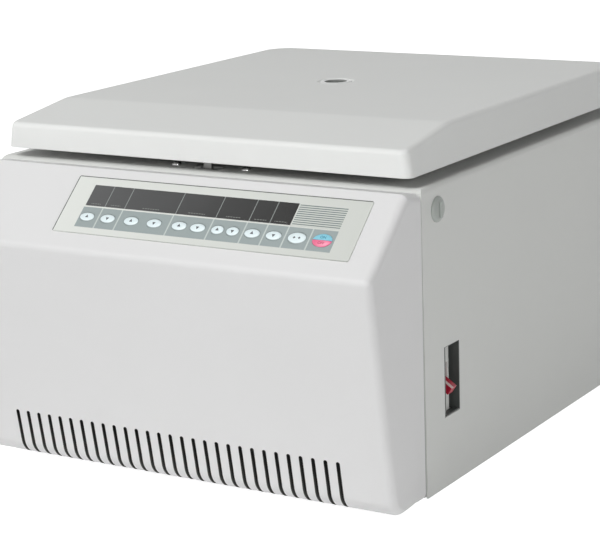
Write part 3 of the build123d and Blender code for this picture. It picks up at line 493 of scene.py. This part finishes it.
def everything(bm):
    """All of a bmesh's vertices, edges and faces."""
    return bm.verts[:] + bm.edges[:] + bm.faces[:]


def far_verts(extruded):
    """The new vertices that an extrusion makes."""
    return [item for item in extruded["geom"] if isinstance(item, bmesh.types.BMVert)]


def own_shape(node):
    """A solid's own shape as a bmesh with its facets joined."""
    bm = bmesh.new()
    bm.from_mesh(nodes[node].data)
    bmesh.ops.remove_doubles(bm, verts=bm.verts, dist=0.002 * mm)
    bmesh.ops.dissolve_limit(bm, angle_limit=math.radians(0.5), verts=bm.verts, edges=bm.edges)
    bmesh.ops.recalc_face_normals(bm, faces=bm.faces)
    return bm


def finish_shape(bm, node, edge=0.35 * mm, steps=2, finish=None):
    """Ease a solid's sharp edges, keep its broad faces flat, and let it stand for its node."""
    piece = add_piece(bm, node + "_shape", body_of[node], slot_of[node], finish)
    rounding = piece.modifiers.new("edge", "BEVEL")
    rounding.width = edge
    rounding.segments = steps
    rounding.limit_method = "ANGLE"
    rounding.angle_limit = math.radians(32.0)
    rounding.harden_normals = True
    flat = piece.modifiers.new("flat", "WEIGHTED_NORMAL")
    flat.keep_sharp = True
    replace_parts(piece, node)


def turned_piece(profile, place, steps=48, ring=False):
    """Spin (radius, height) points round a place's Z: from axis to axis, or closed for a ring."""
    bm = bmesh.new()
    points = [bm.verts.new((radius, 0.0, height)) for radius, height in profile]
    pairs = list(zip(points, points[1:]))
    if ring:
        pairs.append((points[-1], points[0]))
    edges = [bm.edges.new(pair) for pair in pairs]
    bmesh.ops.spin(
        bm,
        geom=points + edges,
        axis=(0, 0, 1),
        cent=(0, 0, 0),
        steps=steps,
        angle=2 * math.pi,
        use_merge=True,
    )
    bmesh.ops.remove_doubles(bm, verts=bm.verts, dist=0.01 * mm)
    bmesh.ops.transform(bm, matrix=place, verts=bm.verts)
    return bm


def add_block(bm, size, middle, edge, steps):
    """A block with eased edges inside a bmesh."""
    place = Matrix.Translation(middle) @ Matrix.Diagonal((*size, 1.0))
    block = bmesh.ops.create_cube(bm, size=1.0, matrix=place)
    round_over(bm, list({line for vert in block["verts"] for line in vert.link_edges}), edge, steps)


def socket_screw(name, place, radius=3.2 * mm, height=1.9 * mm):
    """A domed screw head with a six-sided socket, standing along its place's Z."""
    bm = turned_piece(
        [
            (0.52 * radius, height),
            (0.80 * radius, 0.80 * height),
            (0.96 * radius, 0.40 * height),
            (radius, 0.0),
            (0.0, 0.0),
        ],
        Matrix.Identity(4),
        24,
    )
    brim = [edge for edge in bm.edges if edge.is_boundary]
    top = Matrix.Translation((0, 0, height))
    mouth = bmesh.ops.create_circle(bm, segments=6, radius=0.42 * radius, matrix=top)
    lip = list({edge for vert in mouth["verts"] for edge in vert.link_edges})
    bmesh.ops.bridge_loops(bm, edges=brim + lip)
    sunk = far_verts(bmesh.ops.extrude_edge_only(bm, edges=lip))
    bmesh.ops.translate(bm, verts=sunk, vec=(0, 0, -0.7 * height))
    bmesh.ops.contextual_create(bm, geom=sunk)
    bmesh.ops.transform(bm, matrix=place, verts=bm.verts)
    return add_piece(bm, name, "housing", "bright_steel", sharp=40.0)


# ------------------------------------------------------------------ case and lid
def ease_seam(bm, edge_y, width):
    """Round the outer edge of a panel where it meets the seam between the bezel and the case."""
    middle = Vector((0.0, edge_y, 140 * mm))
    chosen = []
    for edge in bm.edges:
        low, high = (vert.co for vert in edge.verts)
        faces = edge.link_faces
        if max(abs(low.y - edge_y), abs(high.y - edge_y)) > 0.02 * mm or len(faces) != 2:
            continue
        ends = [face for face in faces if abs(face.normal.y) > 0.9]
        sides = [face for face in faces if abs(face.normal.y) < 0.3]
        if ends and sides and sides[0].normal.dot((low + high) / 2 - middle) > 0:
            chosen.append(edge)
    round_over(bm, chosen, width, 3)


# The bezel's foot, as (y, z) points of its side view. The solid's front wall meets its sill in a sharp
# corner. Here the wall starts to roll at wall_reach above that corner, turns through foot_roll, runs on
# for foot_run and bends to foot_end, which is sill_reach behind the corner. Only the outer foot_skin of
# the solid is moved.
foot_setback = 33.9 * mm
foot_corner = Vector((nose_y + foot_setback, 17.2 * mm))
foot_end = Vector((-198.6 * mm, 12.4 * mm))
foot_lean = math.atan2(foot_setback, nose_z - foot_corner.y)
roll_radius = 18.0 * mm
foot_roll = math.radians(64)
foot_run = 6.0 * mm
wall_reach = 9.1 * mm
wall_cuts = 11
sill_reach = 40.0 * mm
sill_cuts = 9
sill_slope = math.atan2(5.2, 44.0)
foot_skin = 9.0 * mm
up_wall = Vector((-math.sin(foot_lean), math.cos(foot_lean)))
into_wall = Vector((math.cos(foot_lean), math.sin(foot_lean)))
along_sill = Vector((math.cos(sill_slope), -math.sin(sill_slope)))
into_sill = Vector((math.sin(sill_slope), math.cos(sill_slope)))
corner_share = math.tan((math.pi / 2 - foot_lean - sill_slope) / 2)
roll_centre = foot_corner + up_wall * wall_reach + into_wall * roll_radius


def outward(turn):
    """The rolled foot's outward direction after a turn from the front wall."""
    return Vector((-math.cos(foot_lean + turn), -math.sin(foot_lean + turn)))


def rolled_place(point):
    """Where a point near the bezel's sharp corner lies once the foot is rolled under."""
    offset = point - foot_corner
    wall_depth = offset.dot(into_wall)
    sill_depth = offset.dot(into_sill)
    if wall_depth <= sill_depth:
        low = wall_depth * corner_share
        share = (offset.dot(up_wall) - low) / (wall_reach - low)
        if share >= 1 or wall_depth > foot_skin:
            return point
        return roll_centre + outward(foot_roll * (1 - max(share, 0.0))) * (roll_radius - wall_depth)
    low = sill_depth * corner_share
    share = (offset.dot(along_sill) - low) / (sill_reach - low)
    if share >= 1 or sill_depth > foot_skin:
        return point
    share = max(share, 0.0)
    start = roll_centre + outward(foot_roll) * roll_radius
    heading = Vector((math.sin(foot_lean + foot_roll), -math.cos(foot_lean + foot_roll)))
    bend = start + heading * foot_run
    path = start * (1 - share) ** 2 + bend * (2 * share * (1 - share)) + foot_end * share**2
    slope = ((bend - start) * (1 - share) + (foot_end - bend) * share).normalized()
    return path + Vector((-slope.y, slope.x)) * sill_depth


bezel = own_shape("front_bezel")
slot_tops = [
    edge
    for edge in bezel.edges
    if all(abs(vert.co.z - vent_top) < 0.3 * mm for vert in edge.verts)
    and abs(edge.verts[0].co.x - edge.verts[1].co.x) < 0.05 * mm
    and edge.calc_length() < 8 * mm
]
round_over(bezel, slot_tops, 1.6 * mm, 4)
for step in range(wall_cuts):
    through = (0, 0, foot_corner.y + wall_reach * (step + 1) / wall_cuts)
    bmesh.ops.bisect_plane(bezel, geom=everything(bezel), plane_co=through, plane_no=(0, 0, 1))
for step in range(sill_cuts + 1):
    through = (0, foot_corner.x + sill_reach * step / sill_cuts, 0)
    bmesh.ops.bisect_plane(bezel, geom=everything(bezel), plane_co=through, plane_no=(0, 1, 0))
for vert in bezel.verts:
    if vert.co.z < 40 * mm and vert.co.y < seam_y - 10 * mm:
        vert.co.yz = rolled_place(vert.co.yz)
bmesh.ops.dissolve_degenerate(bezel, dist=0.02 * mm, edges=bezel.edges)
ease_seam(bezel, seam_y, 0.6 * mm)
finish_shape(bezel, "front_bezel")

# The case's front edges stand back a little, so that the seam shows as a groove down each side.
groove = 3.0 * mm
wrap = own_shape("case_wrap")
for vert in wrap.verts:
    if vert.co.y < wrap_low.y + 0.05 * mm and vert.co.z < deck_z - 8 * mm:
        vert.co.y += groove
ease_seam(wrap, wrap_low.y + groove, 0.7 * mm)
finish_shape(wrap, "case_wrap")

# The lid, with the crease across its top softened.
lid = own_shape("lid_shell")
crease = [
    edge
    for edge in lid.edges
    if all(abs(vert.co.y - lid_crease_y) < 1.0 * mm for vert in edge.verts)
    and len(edge.link_faces) == 2
    and math.radians(1) < edge.calc_face_angle() < math.radians(20)
]
round_over(lid, crease, 3.0 * mm, 4)
finish_shape(lid, "lid_shell", finish=lid_paint)

# The breaker's lever, a quarter narrower than its solid.
lever_share = 0.76
lever = own_shape("breaker_toggle")
for vert in lever.verts:
    vert.co.y = pivot_y + lever_share * (vert.co.y - pivot_y)
finish_shape(lever, "breaker_toggle", 0.6 * mm, 3)

# Painted shade: a near-black frame that lines the breaker's window, in millimetres: its front post, rear
# post and two rails.
lining = bmesh.new()
for size, middle in (
    ((6.6, 3.6, 60.8), (210.9, -147.4, 104.0)),
    ((24.6, 0.9, 60.8), (202.5, -121.95, 104.0)),
    ((6.6, 23.2, 1.0), (210.9, -134.0, 133.9)),
    ((6.6, 23.2, 1.0), (210.9, -134.0, 74.1)),
):
    add_block(lining, Vector(size) * mm, Vector(middle) * mm, 0.3 * mm, 1)
add_piece(lining, "breaker_window_shade", "housing", "black_plastic", window_shade_grey)

# Fittings and inner pieces, with their edges eased.
for node in ("breaker_case", "hinge_brackets", "lid_hinge_leaves", "lock_pawl"):
    finish_shape(own_shape(node), node, 0.3 * mm)
finish_shape(own_shape("lid_striker"), "lid_striker", 0.5 * mm, finish=zinc_plate)
for node in ("chamber_bowl", "lid_liner", "port_window", "rotor_plate", "drive_shaft", "motor_housing"):
    finish_shape(own_shape(node), node, 0.2 * mm, 1)
finish_shape(own_shape("slide_clips"), "slide_clips", 0.3 * mm, 1)
finish_shape(own_shape("rotor_nut"), "rotor_nut", 1.4 * mm, 3)
finish_shape(own_shape("power_inlet"), "power_inlet", 0.5 * mm)

# Painted shade: a black sheet inside the front wall, behind the vents, which follows the rolled foot.
mat_end = 176 * mm
mat_depths = (3.2 * mm, 4.4 * mm)
mat_path = [(up_wall, into_wall, reach * mm) for reach in (44, 20, 9.1, 7.5, 6, 4.8, 3.9)]
mat_path += [(along_sill, into_sill, reach * mm) for reach in (4.4, 8, 12, 16)]
mat = bmesh.new()
mat_edges = []
for depth in mat_depths:
    spots = [rolled_place(foot_corner + way * reach + inward * depth) for way, inward, reach in mat_path]
    points = [mat.verts.new((-mat_end, *spot)) for spot in spots]
    mat_edges += [mat.edges.new(pair) for pair in zip(points, points[1:])]
bmesh.ops.bridge_loops(mat, edges=mat_edges)
right_end = far_verts(bmesh.ops.extrude_face_region(mat, geom=mat.faces[:]))
bmesh.ops.translate(mat, verts=right_end, vec=(2 * mat_end, 0, 0))
add_piece(mat, "vent_shade_mat", "housing", "seal_rubber", vent_shade_black)

# Painted shade: a grey strip in the groove down each side, between the bezel and the case.
for side, x in (("left", -213.2 * mm), ("right", 213.2 * mm)):
    shade_strip = bmesh.new()
    add_block(shade_strip, (1.8 * mm, 3.9 * mm, 252 * mm), (x, -183.8 * mm, 140 * mm), 0.3 * mm, 1)
    add_piece(shade_strip, f"seam_shade_strip_{side}", "housing", "seal_rubber", seam_shade_grey)

# Round lip of the chamber's seal.
seal_low, seal_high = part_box("chamber_seal")
seal_outer = seal_high.x
seal_inner = seal_outer - 8.0 * mm
seal = turned_piece(
    [
        (seal_inner, seal_low.z),
        (seal_inner, seal_high.z - 3.6 * mm),
        (seal_inner + 0.6 * mm, seal_high.z - 1.6 * mm),
        (seal_inner + 2.2 * mm, seal_high.z - 0.3 * mm),
        (seal_inner + 4.0 * mm, seal_high.z),
        (seal_inner + 5.8 * mm, seal_high.z - 0.3 * mm),
        (seal_inner + 7.4 * mm, seal_high.z - 1.6 * mm),
        (seal_outer, seal_high.z - 3.6 * mm),
        (seal_outer, seal_low.z),
    ],
    at(0, chamber_y, 0),
    96,
    ring=True,
)
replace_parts(add_piece(seal, "seal_lip", "housing", "seal_rubber", sharp=50.0), "chamber_seal")

# The observation port: a grey grommet up from its glass, in a bright ring that fills the dish.
port_x = (glass_low.x + glass_high.x) / 2
port_y = (glass_low.y + glass_high.y) / 2
lid_top = lid_high.z
grommet = turned_piece(
    [
        (12.0 * mm, glass_high.z + 0.2 * mm),
        (12.0 * mm, lid_top - 0.3 * mm),
        (11.0 * mm, lid_top - 0.2 * mm),
        (10.2 * mm, lid_top - 0.6 * mm),
        (10.0 * mm, lid_top - 1.4 * mm),
        (10.0 * mm, glass_high.z + 0.2 * mm),
    ],
    at(port_x, port_y, 0),
    64,
    ring=True,
)
add_piece(grommet, "port_grommet", "lid", "seal_rubber", grommet_grey, sharp=50.0)
port_ring = turned_piece(
    [
        (10.9 * mm, lid_top - 0.9 * mm),
        (10.9 * mm, lid_top - 0.05 * mm),
        (13.4 * mm, lid_top),
        (14.6 * mm, lid_top - 0.25 * mm),
        (15.4 * mm, lid_top - 0.8 * mm),
        (15.6 * mm, lid_top - 1.35 * mm),
        (12.1 * mm, lid_top - 1.35 * mm),
        (12.1 * mm, lid_top - 0.9 * mm),
    ],
    at(port_x, port_y, 0),
    64,
    ring=True,
)
add_piece(port_ring, "port_ring", "lid", "funnel_plastic", ring_white, sharp=60.0)


# ------------------------------------------------------------------ keys
def key_middle(node):
    """How far across the panel a key's middle lies, in millimetres."""
    low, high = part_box(node)
    return (low.x + high.x) / 2 / mm


def oval(profile, wide, tall):
    """A profile of (share of the half width, height) points spun into an oval of a size in millimetres."""
    return turned_piece(profile, Matrix.Diagonal((wide * mm / 2, tall * mm / 2, 1.0, 1.0)))


def add_key(bm, name, node, finish=None):
    """Set an oval on the panel as part of its key."""
    bmesh.ops.transform(bm, matrix=panel_frame(key_middle(node), key_row), verts=bm.verts)
    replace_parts(add_piece(bm, name, node, slot_of[node], finish, sharp=50.0), node)


def key_cap(node, wide, tall):
    """One smooth oval key: a rim that rolls over to a slightly crowned face, in a flat grey skirt."""
    skirt_top, rim_foot = 0.9 * mm, 0.5 * mm
    skirt = [(0.0, skirt_top), (0.97, skirt_top), (1.0, 0.8 * mm), (1.0, key_foot), (0.0, key_foot)]
    add_key(oval(skirt, wide, tall), node + "_skirt", node, field_grey)
    crown = [
        (0.0, key_stand),
        (0.55, key_stand - 0.03 * mm),
        (0.86, key_stand - 0.12 * mm),
        (0.97, key_stand - 0.30 * mm),
        (1.0, key_stand - 0.55 * mm),
        (1.0, rim_foot),
        (0.0, rim_foot),
    ]
    add_key(oval(crown, 0.96 * wide, 0.86 * tall), node + "_cap", node)


def half_cap(node, hand, wide, tall):
    """The upper (1) or lower (-1) half of the run key."""
    crown = [
        (0.0, key_stand),
        (0.9, key_stand - 0.1 * mm),
        (1.0, key_stand - 0.5 * mm),
        (1.0, key_foot),
        (0.0, key_foot),
    ]
    bm = oval(crown, wide, tall)
    cut = bmesh.ops.bisect_plane(
        bm,
        geom=everything(bm),
        plane_co=(0, hand * 0.15 * mm, 0),
        plane_no=(0, -hand, 0),
        clear_outer=True,
    )
    rim = [item for item in cut["geom_cut"] if isinstance(item, bmesh.types.BMEdge)]
    bmesh.ops.contextual_create(bm, geom=rim)
    add_key(bm, node + "_cap", node)


def key_mark(name, node, across, corners, radius, turn):
    """A small many-cornered mark printed on a key's face."""
    bm = bmesh.new()
    bmesh.ops.create_circle(bm, cap_ends=True, segments=corners, radius=radius)
    raised = far_verts(bmesh.ops.extrude_face_region(bm, geom=bm.faces[:]))
    bmesh.ops.translate(bm, verts=raised, vec=(0, 0, 0.06 * mm))
    bmesh.ops.rotate(bm, verts=bm.verts, cent=(0, 0, 0), matrix=Matrix.Rotation(turn, 3, "Z"))
    bmesh.ops.transform(bm, matrix=panel_frame(across, key_row, key_stand - 0.03 * mm), verts=bm.verts)
    add_piece(bm, name, node, slot_of[node], mark_ink)


def key_word(word, node, down, size, finish):
    """ON or OFF printed on half of the run key."""
    curve = bpy.data.curves.new(node + "_word", "FONT")
    curve.body = word
    curve.size = size * mm
    curve.align_x = "CENTER"
    curve.align_y = "CENTER"
    curve.extrude = 0.03 * mm
    curve.offset = 0.06 * mm
    written = bpy.data.objects.new("written", curve)
    bpy.context.scene.collection.objects.link(written)
    bpy.context.view_layer.update()
    drawn = bpy.data.meshes.new_from_object(written.evaluated_get(bpy.context.evaluated_depsgraph_get()))
    bpy.data.objects.remove(written)
    place = panel_frame(key_middle(node), down, key_stand - 0.01 * mm)
    bm = bmesh.new()
    bm.from_mesh(drawn)
    bmesh.ops.remove_doubles(bm, verts=bm.verts, dist=0.001 * mm)
    bmesh.ops.transform(bm, matrix=place, verts=bm.verts)
    add_piece(bm, node + "_word", node, slot_of[node], finish)


for pair in range(1, 6):
    for hand, turn in (("up", 0.0), ("down", math.pi)):
        key = f"key_{hand}_{pair}"
        low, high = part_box(key)
        key_cap(key, (high.x - low.x) / mm, 9.5)
        key_mark(key + "_mark", key, key_middle(key), 3, 1.9 * mm, turn)
key_cap("key_mode", 17.2, 11.8)
for side, shift in (("left", -2.4), ("right", 2.4)):
    key_mark(f"key_mode_mark_{side}", "key_mode", key_middle("key_mode") + shift, 4, 1.2 * mm, 0.0)
run_size = (17.9, 12.6)
half_cap("key_start", 1, *run_size)
half_cap("key_stop", -1, *run_size)
key_word("ON", "key_start", 48.9, 3.4, start_ink)
key_word("OFF", "key_stop", 54.4, 3.4, stop_ink)

# ------------------------------------------------------------------ release plug, lock screws and feet
plug_low, plug_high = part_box("side_plug")
plug_middle = (plug_low + plug_high) / 2
plug_radius = (plug_high.z - plug_low.z) / 2
plug = turned_piece(
    [
        (0.0, 3.4 * mm),
        (0.62 * plug_radius, 3.2 * mm),
        (0.76 * plug_radius, 2.9 * mm),
        (0.90 * plug_radius, 2.0 * mm),
        (0.97 * plug_radius, 1.3 * mm),
        (plug_radius, 0.7 * mm),
        (plug_radius, 0.05 * mm),
        (0.71 * plug_radius, 0.05 * mm),
        (0.71 * plug_radius, -12.0 * mm),
        (0.0, -12.0 * mm),
    ],
    Matrix.Identity(4),
)
add_block(plug, (1.30 * plug_radius, 4.2 * mm, 2.2 * mm), (0, 0, 3.9 * mm), 1.0 * mm, 3)
bmesh.ops.transform(plug, matrix=at(side_x, plug_middle.y, plug_middle.z, "right"), verts=plug.verts)
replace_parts(add_piece(plug, "side_plug_head", "side_plug", "plug_plastic", sharp=50.0), "side_plug")

lock_low, lock_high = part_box("lock_screws")
lock_radius = (lock_high.y - lock_low.y) / 2
for side, x in (("left", lock_low.x + lock_radius), ("right", lock_high.x - lock_radius)):
    place = at(x, lock_low.y + lock_radius, deck_z)
    screw = socket_screw(f"lock_screw_{side}", place, radius=lock_radius, height=2.4 * mm)
    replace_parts(screw, "lock_screws")

feet_low, feet_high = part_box("rubber_feet")
foot_radius = 14.0 * mm
for x in (feet_low.x + foot_radius, feet_high.x - foot_radius):
    for y in (feet_low.y + foot_radius, feet_high.y - foot_radius):
        corner = ("rear" if y > 0 else "front") + ("_right" if x > 0 else "_left")
        foot = turned_piece(
            [
                (0.0, 4.0 * mm),
                (3.5 * mm, 4.0 * mm),
                (4.5 * mm, 0.0),
                (12.5 * mm, 0.0),
                (foot_radius, 1.5 * mm),
                (12.2 * mm, feet_high.z),
                (0.0, feet_high.z),
            ],
            at(x, y, 0.0),
        )
        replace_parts(add_piece(foot, "foot_" + corner, "housing", "seal_rubber", sharp=40.0), "rubber_feet")
        socket_screw("foot_screw_" + corner, at(x, y, 4.0 * mm, "down"), radius=3.0 * mm)

# ------------------------------------------------------------------ fasteners
panel_low, panel_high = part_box("rear_panel")
for row, z in (("low", panel_low.z + 14 * mm), ("high", panel_high.z - 12 * mm)):
    for column, x in (("left", -196 * mm), ("middle", 0.0), ("right", 196 * mm)):
        socket_screw(f"rear_screw_{row}_{column}", at(x, panel_high.y, z, "back"))

inlet_low, inlet_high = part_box("power_inlet")
inlet_middle = (inlet_low + inlet_high) / 2
for side, x in (("left", inlet_high.x - 5 * mm), ("right", inlet_low.x + 5 * mm)):
    place = at(x, inlet_high.y - 1.6 * mm, inlet_middle.z, "back")
    socket_screw(f"inlet_screw_{side}", place, radius=2.4 * mm, height=1.4 * mm)

bracket_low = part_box("hinge_brackets")[0]
for side, x in (("left", -120 * mm), ("right", 120 * mm)):
    for hand in (-1, 1):
        name = f"hinge_screw_{side}_" + ("inner" if hand * x < 0 else "outer")
        place = at(x + hand * 14 * mm, bracket_low.y + 9 * mm, deck_z + 2.5 * mm)
        socket_screw(name, place, radius=2.8 * mm, height=1.6 * mm)

# ------------------------------------------------------------------ sample funnels
stations = 12
station_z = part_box("sample_funnels")[0].z
funnels = bmesh.new()
for station in range(stations):
    cup = turned_piece(
        [
            (0.0, 14.0 * mm),
            (5.0 * mm, 14.0 * mm),
            (8.4 * mm, 17.5 * mm),
            (8.9 * mm, 50.6 * mm),
            (9.0 * mm, 51.6 * mm),
            (8.4 * mm, 52.0 * mm),
            (7.8 * mm, 51.4 * mm),
            (7.2 * mm, 19.0 * mm),
            (4.4 * mm, 16.4 * mm),
            (0.0, 16.4 * mm),
        ],
        Matrix.Translation((80.6 * mm, 0, 0)),
        24,
    )
    add_block(cup, (12.0 * mm, 8.6 * mm, 11.6 * mm), (92.5 * mm, 0, 20.0 * mm), 1.0 * mm, 2)
    add_block(cup, (2.8 * mm, 24.0 * mm, 39.8 * mm), (97.1 * mm, 0, 20.0 * mm), 0.8 * mm, 2)
    turn = Matrix.Rotation(2 * math.pi * station / stations, 4, "Z")
    bmesh.ops.transform(cup, matrix=at(0, chamber_y, station_z) @ turn, verts=cup.verts)
    one = bpy.data.meshes.new("one_funnel")
    cup.to_mesh(one)
    cup.free()
    funnels.from_mesh(one)
    bpy.data.meshes.remove(one)
piece = add_piece(funnels, "funnel_set", "rotor", "funnel_plastic", sharp=40.0)
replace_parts(piece, "sample_funnels")

# ------------------------------------------------------------------ stage, lights and camera
floor_finish = Finish("floor", (0.86, 0.86, 0.86), 0.9)
floor_finish.mottle(1.2, 0.01)
floor_finish.set("Emission Color", (1.0, 1.0, 1.0, 1.0))
floor_finish.set("Emission Strength", floor_finish.looks() * 0.80)

floor = bmesh.new()
bmesh.ops.create_grid(floor, x_segments=8, y_segments=8, size=6.0)
floor_mesh = bpy.data.meshes.new("floor")
floor.to_mesh(floor_mesh)
floor.free()
floor_mesh.materials.append(floor_finish.material)
floor_object = bpy.data.objects.new("floor", floor_mesh)
bpy.context.scene.collection.objects.link(floor_object)

world = bpy.data.worlds.new("studio")
world.use_nodes = True
bpy.context.scene.world = world
studio = Shading(world.node_tree)
sky = world.node_tree.nodes["Background"]
studio.fill(sky.inputs["Color"], (1.0, 1.0, 1.0, 1.0))
world_level = 0.08
studio.fill(sky.inputs["Strength"], studio.looks() * (1.0 - world_level) + world_level)

lamp_size = 2.4
lamp_distance = 6.0
lamp_aim = Vector((0, 0, 150 * mm))


def soft_box(name, toward, power, gloss=True):
    """A square soft box that shines on the case from a direction, seen or not in its gloss."""
    lamp = bpy.data.lights.new(name, "AREA")
    lamp.shape = "SQUARE"
    lamp.size = lamp_size
    lamp.energy = power
    holder = bpy.data.objects.new(name, lamp)
    direction = Vector(toward).normalized()
    holder.location = lamp_aim + direction * lamp_distance
    holder.rotation_mode = "QUATERNION"
    holder.rotation_quaternion = direction.to_track_quat("Z", "Y")
    holder.visible_glossy = gloss
    bpy.context.scene.collection.objects.link(holder)


soft_box("key", (-0.30, -0.55, 0.78), 205.0)
soft_box("side_fill", (0.75, -0.60, 0.25), 132.0)
soft_box("front_fill", (-0.45, -0.75, 0.50), 37.0)
soft_box("back_fill", (0.0, 1.0, 0.10), 70.0, gloss=False)
soft_box("left_fill", (-1.0, 0.05, 0.10), 60.0, gloss=False)

camera = bpy.data.cameras.new("camera")
camera.sensor_fit = "HORIZONTAL"
camera.sensor_width = 36.0
camera.lens = 121.49
camera.clip_end = 50.0
azimuth = math.radians(31.69)
elevation = math.radians(13.74)
roll = math.radians(-1.87)
back = Vector((
    math.sin(azimuth) * math.cos(elevation),
    -math.cos(azimuth) * math.cos(elevation),
    math.sin(elevation),
))
right = Vector((0, 0, 1)).cross(back).normalized()
up = back.cross(right)
viewer = bpy.data.objects.new("camera", camera)
viewer.matrix_world = Matrix.Translation((0.96540, -1.58900, 0.59356)) @ Matrix((
    right * math.cos(roll) + up * math.sin(roll),
    up * math.cos(roll) - right * math.sin(roll),
    back,
)).transposed().to_4x4()
bpy.context.scene.collection.objects.link(viewer)
bpy.context.scene.camera = viewer
bpy.context.scene.view_settings.view_transform = "Standard"
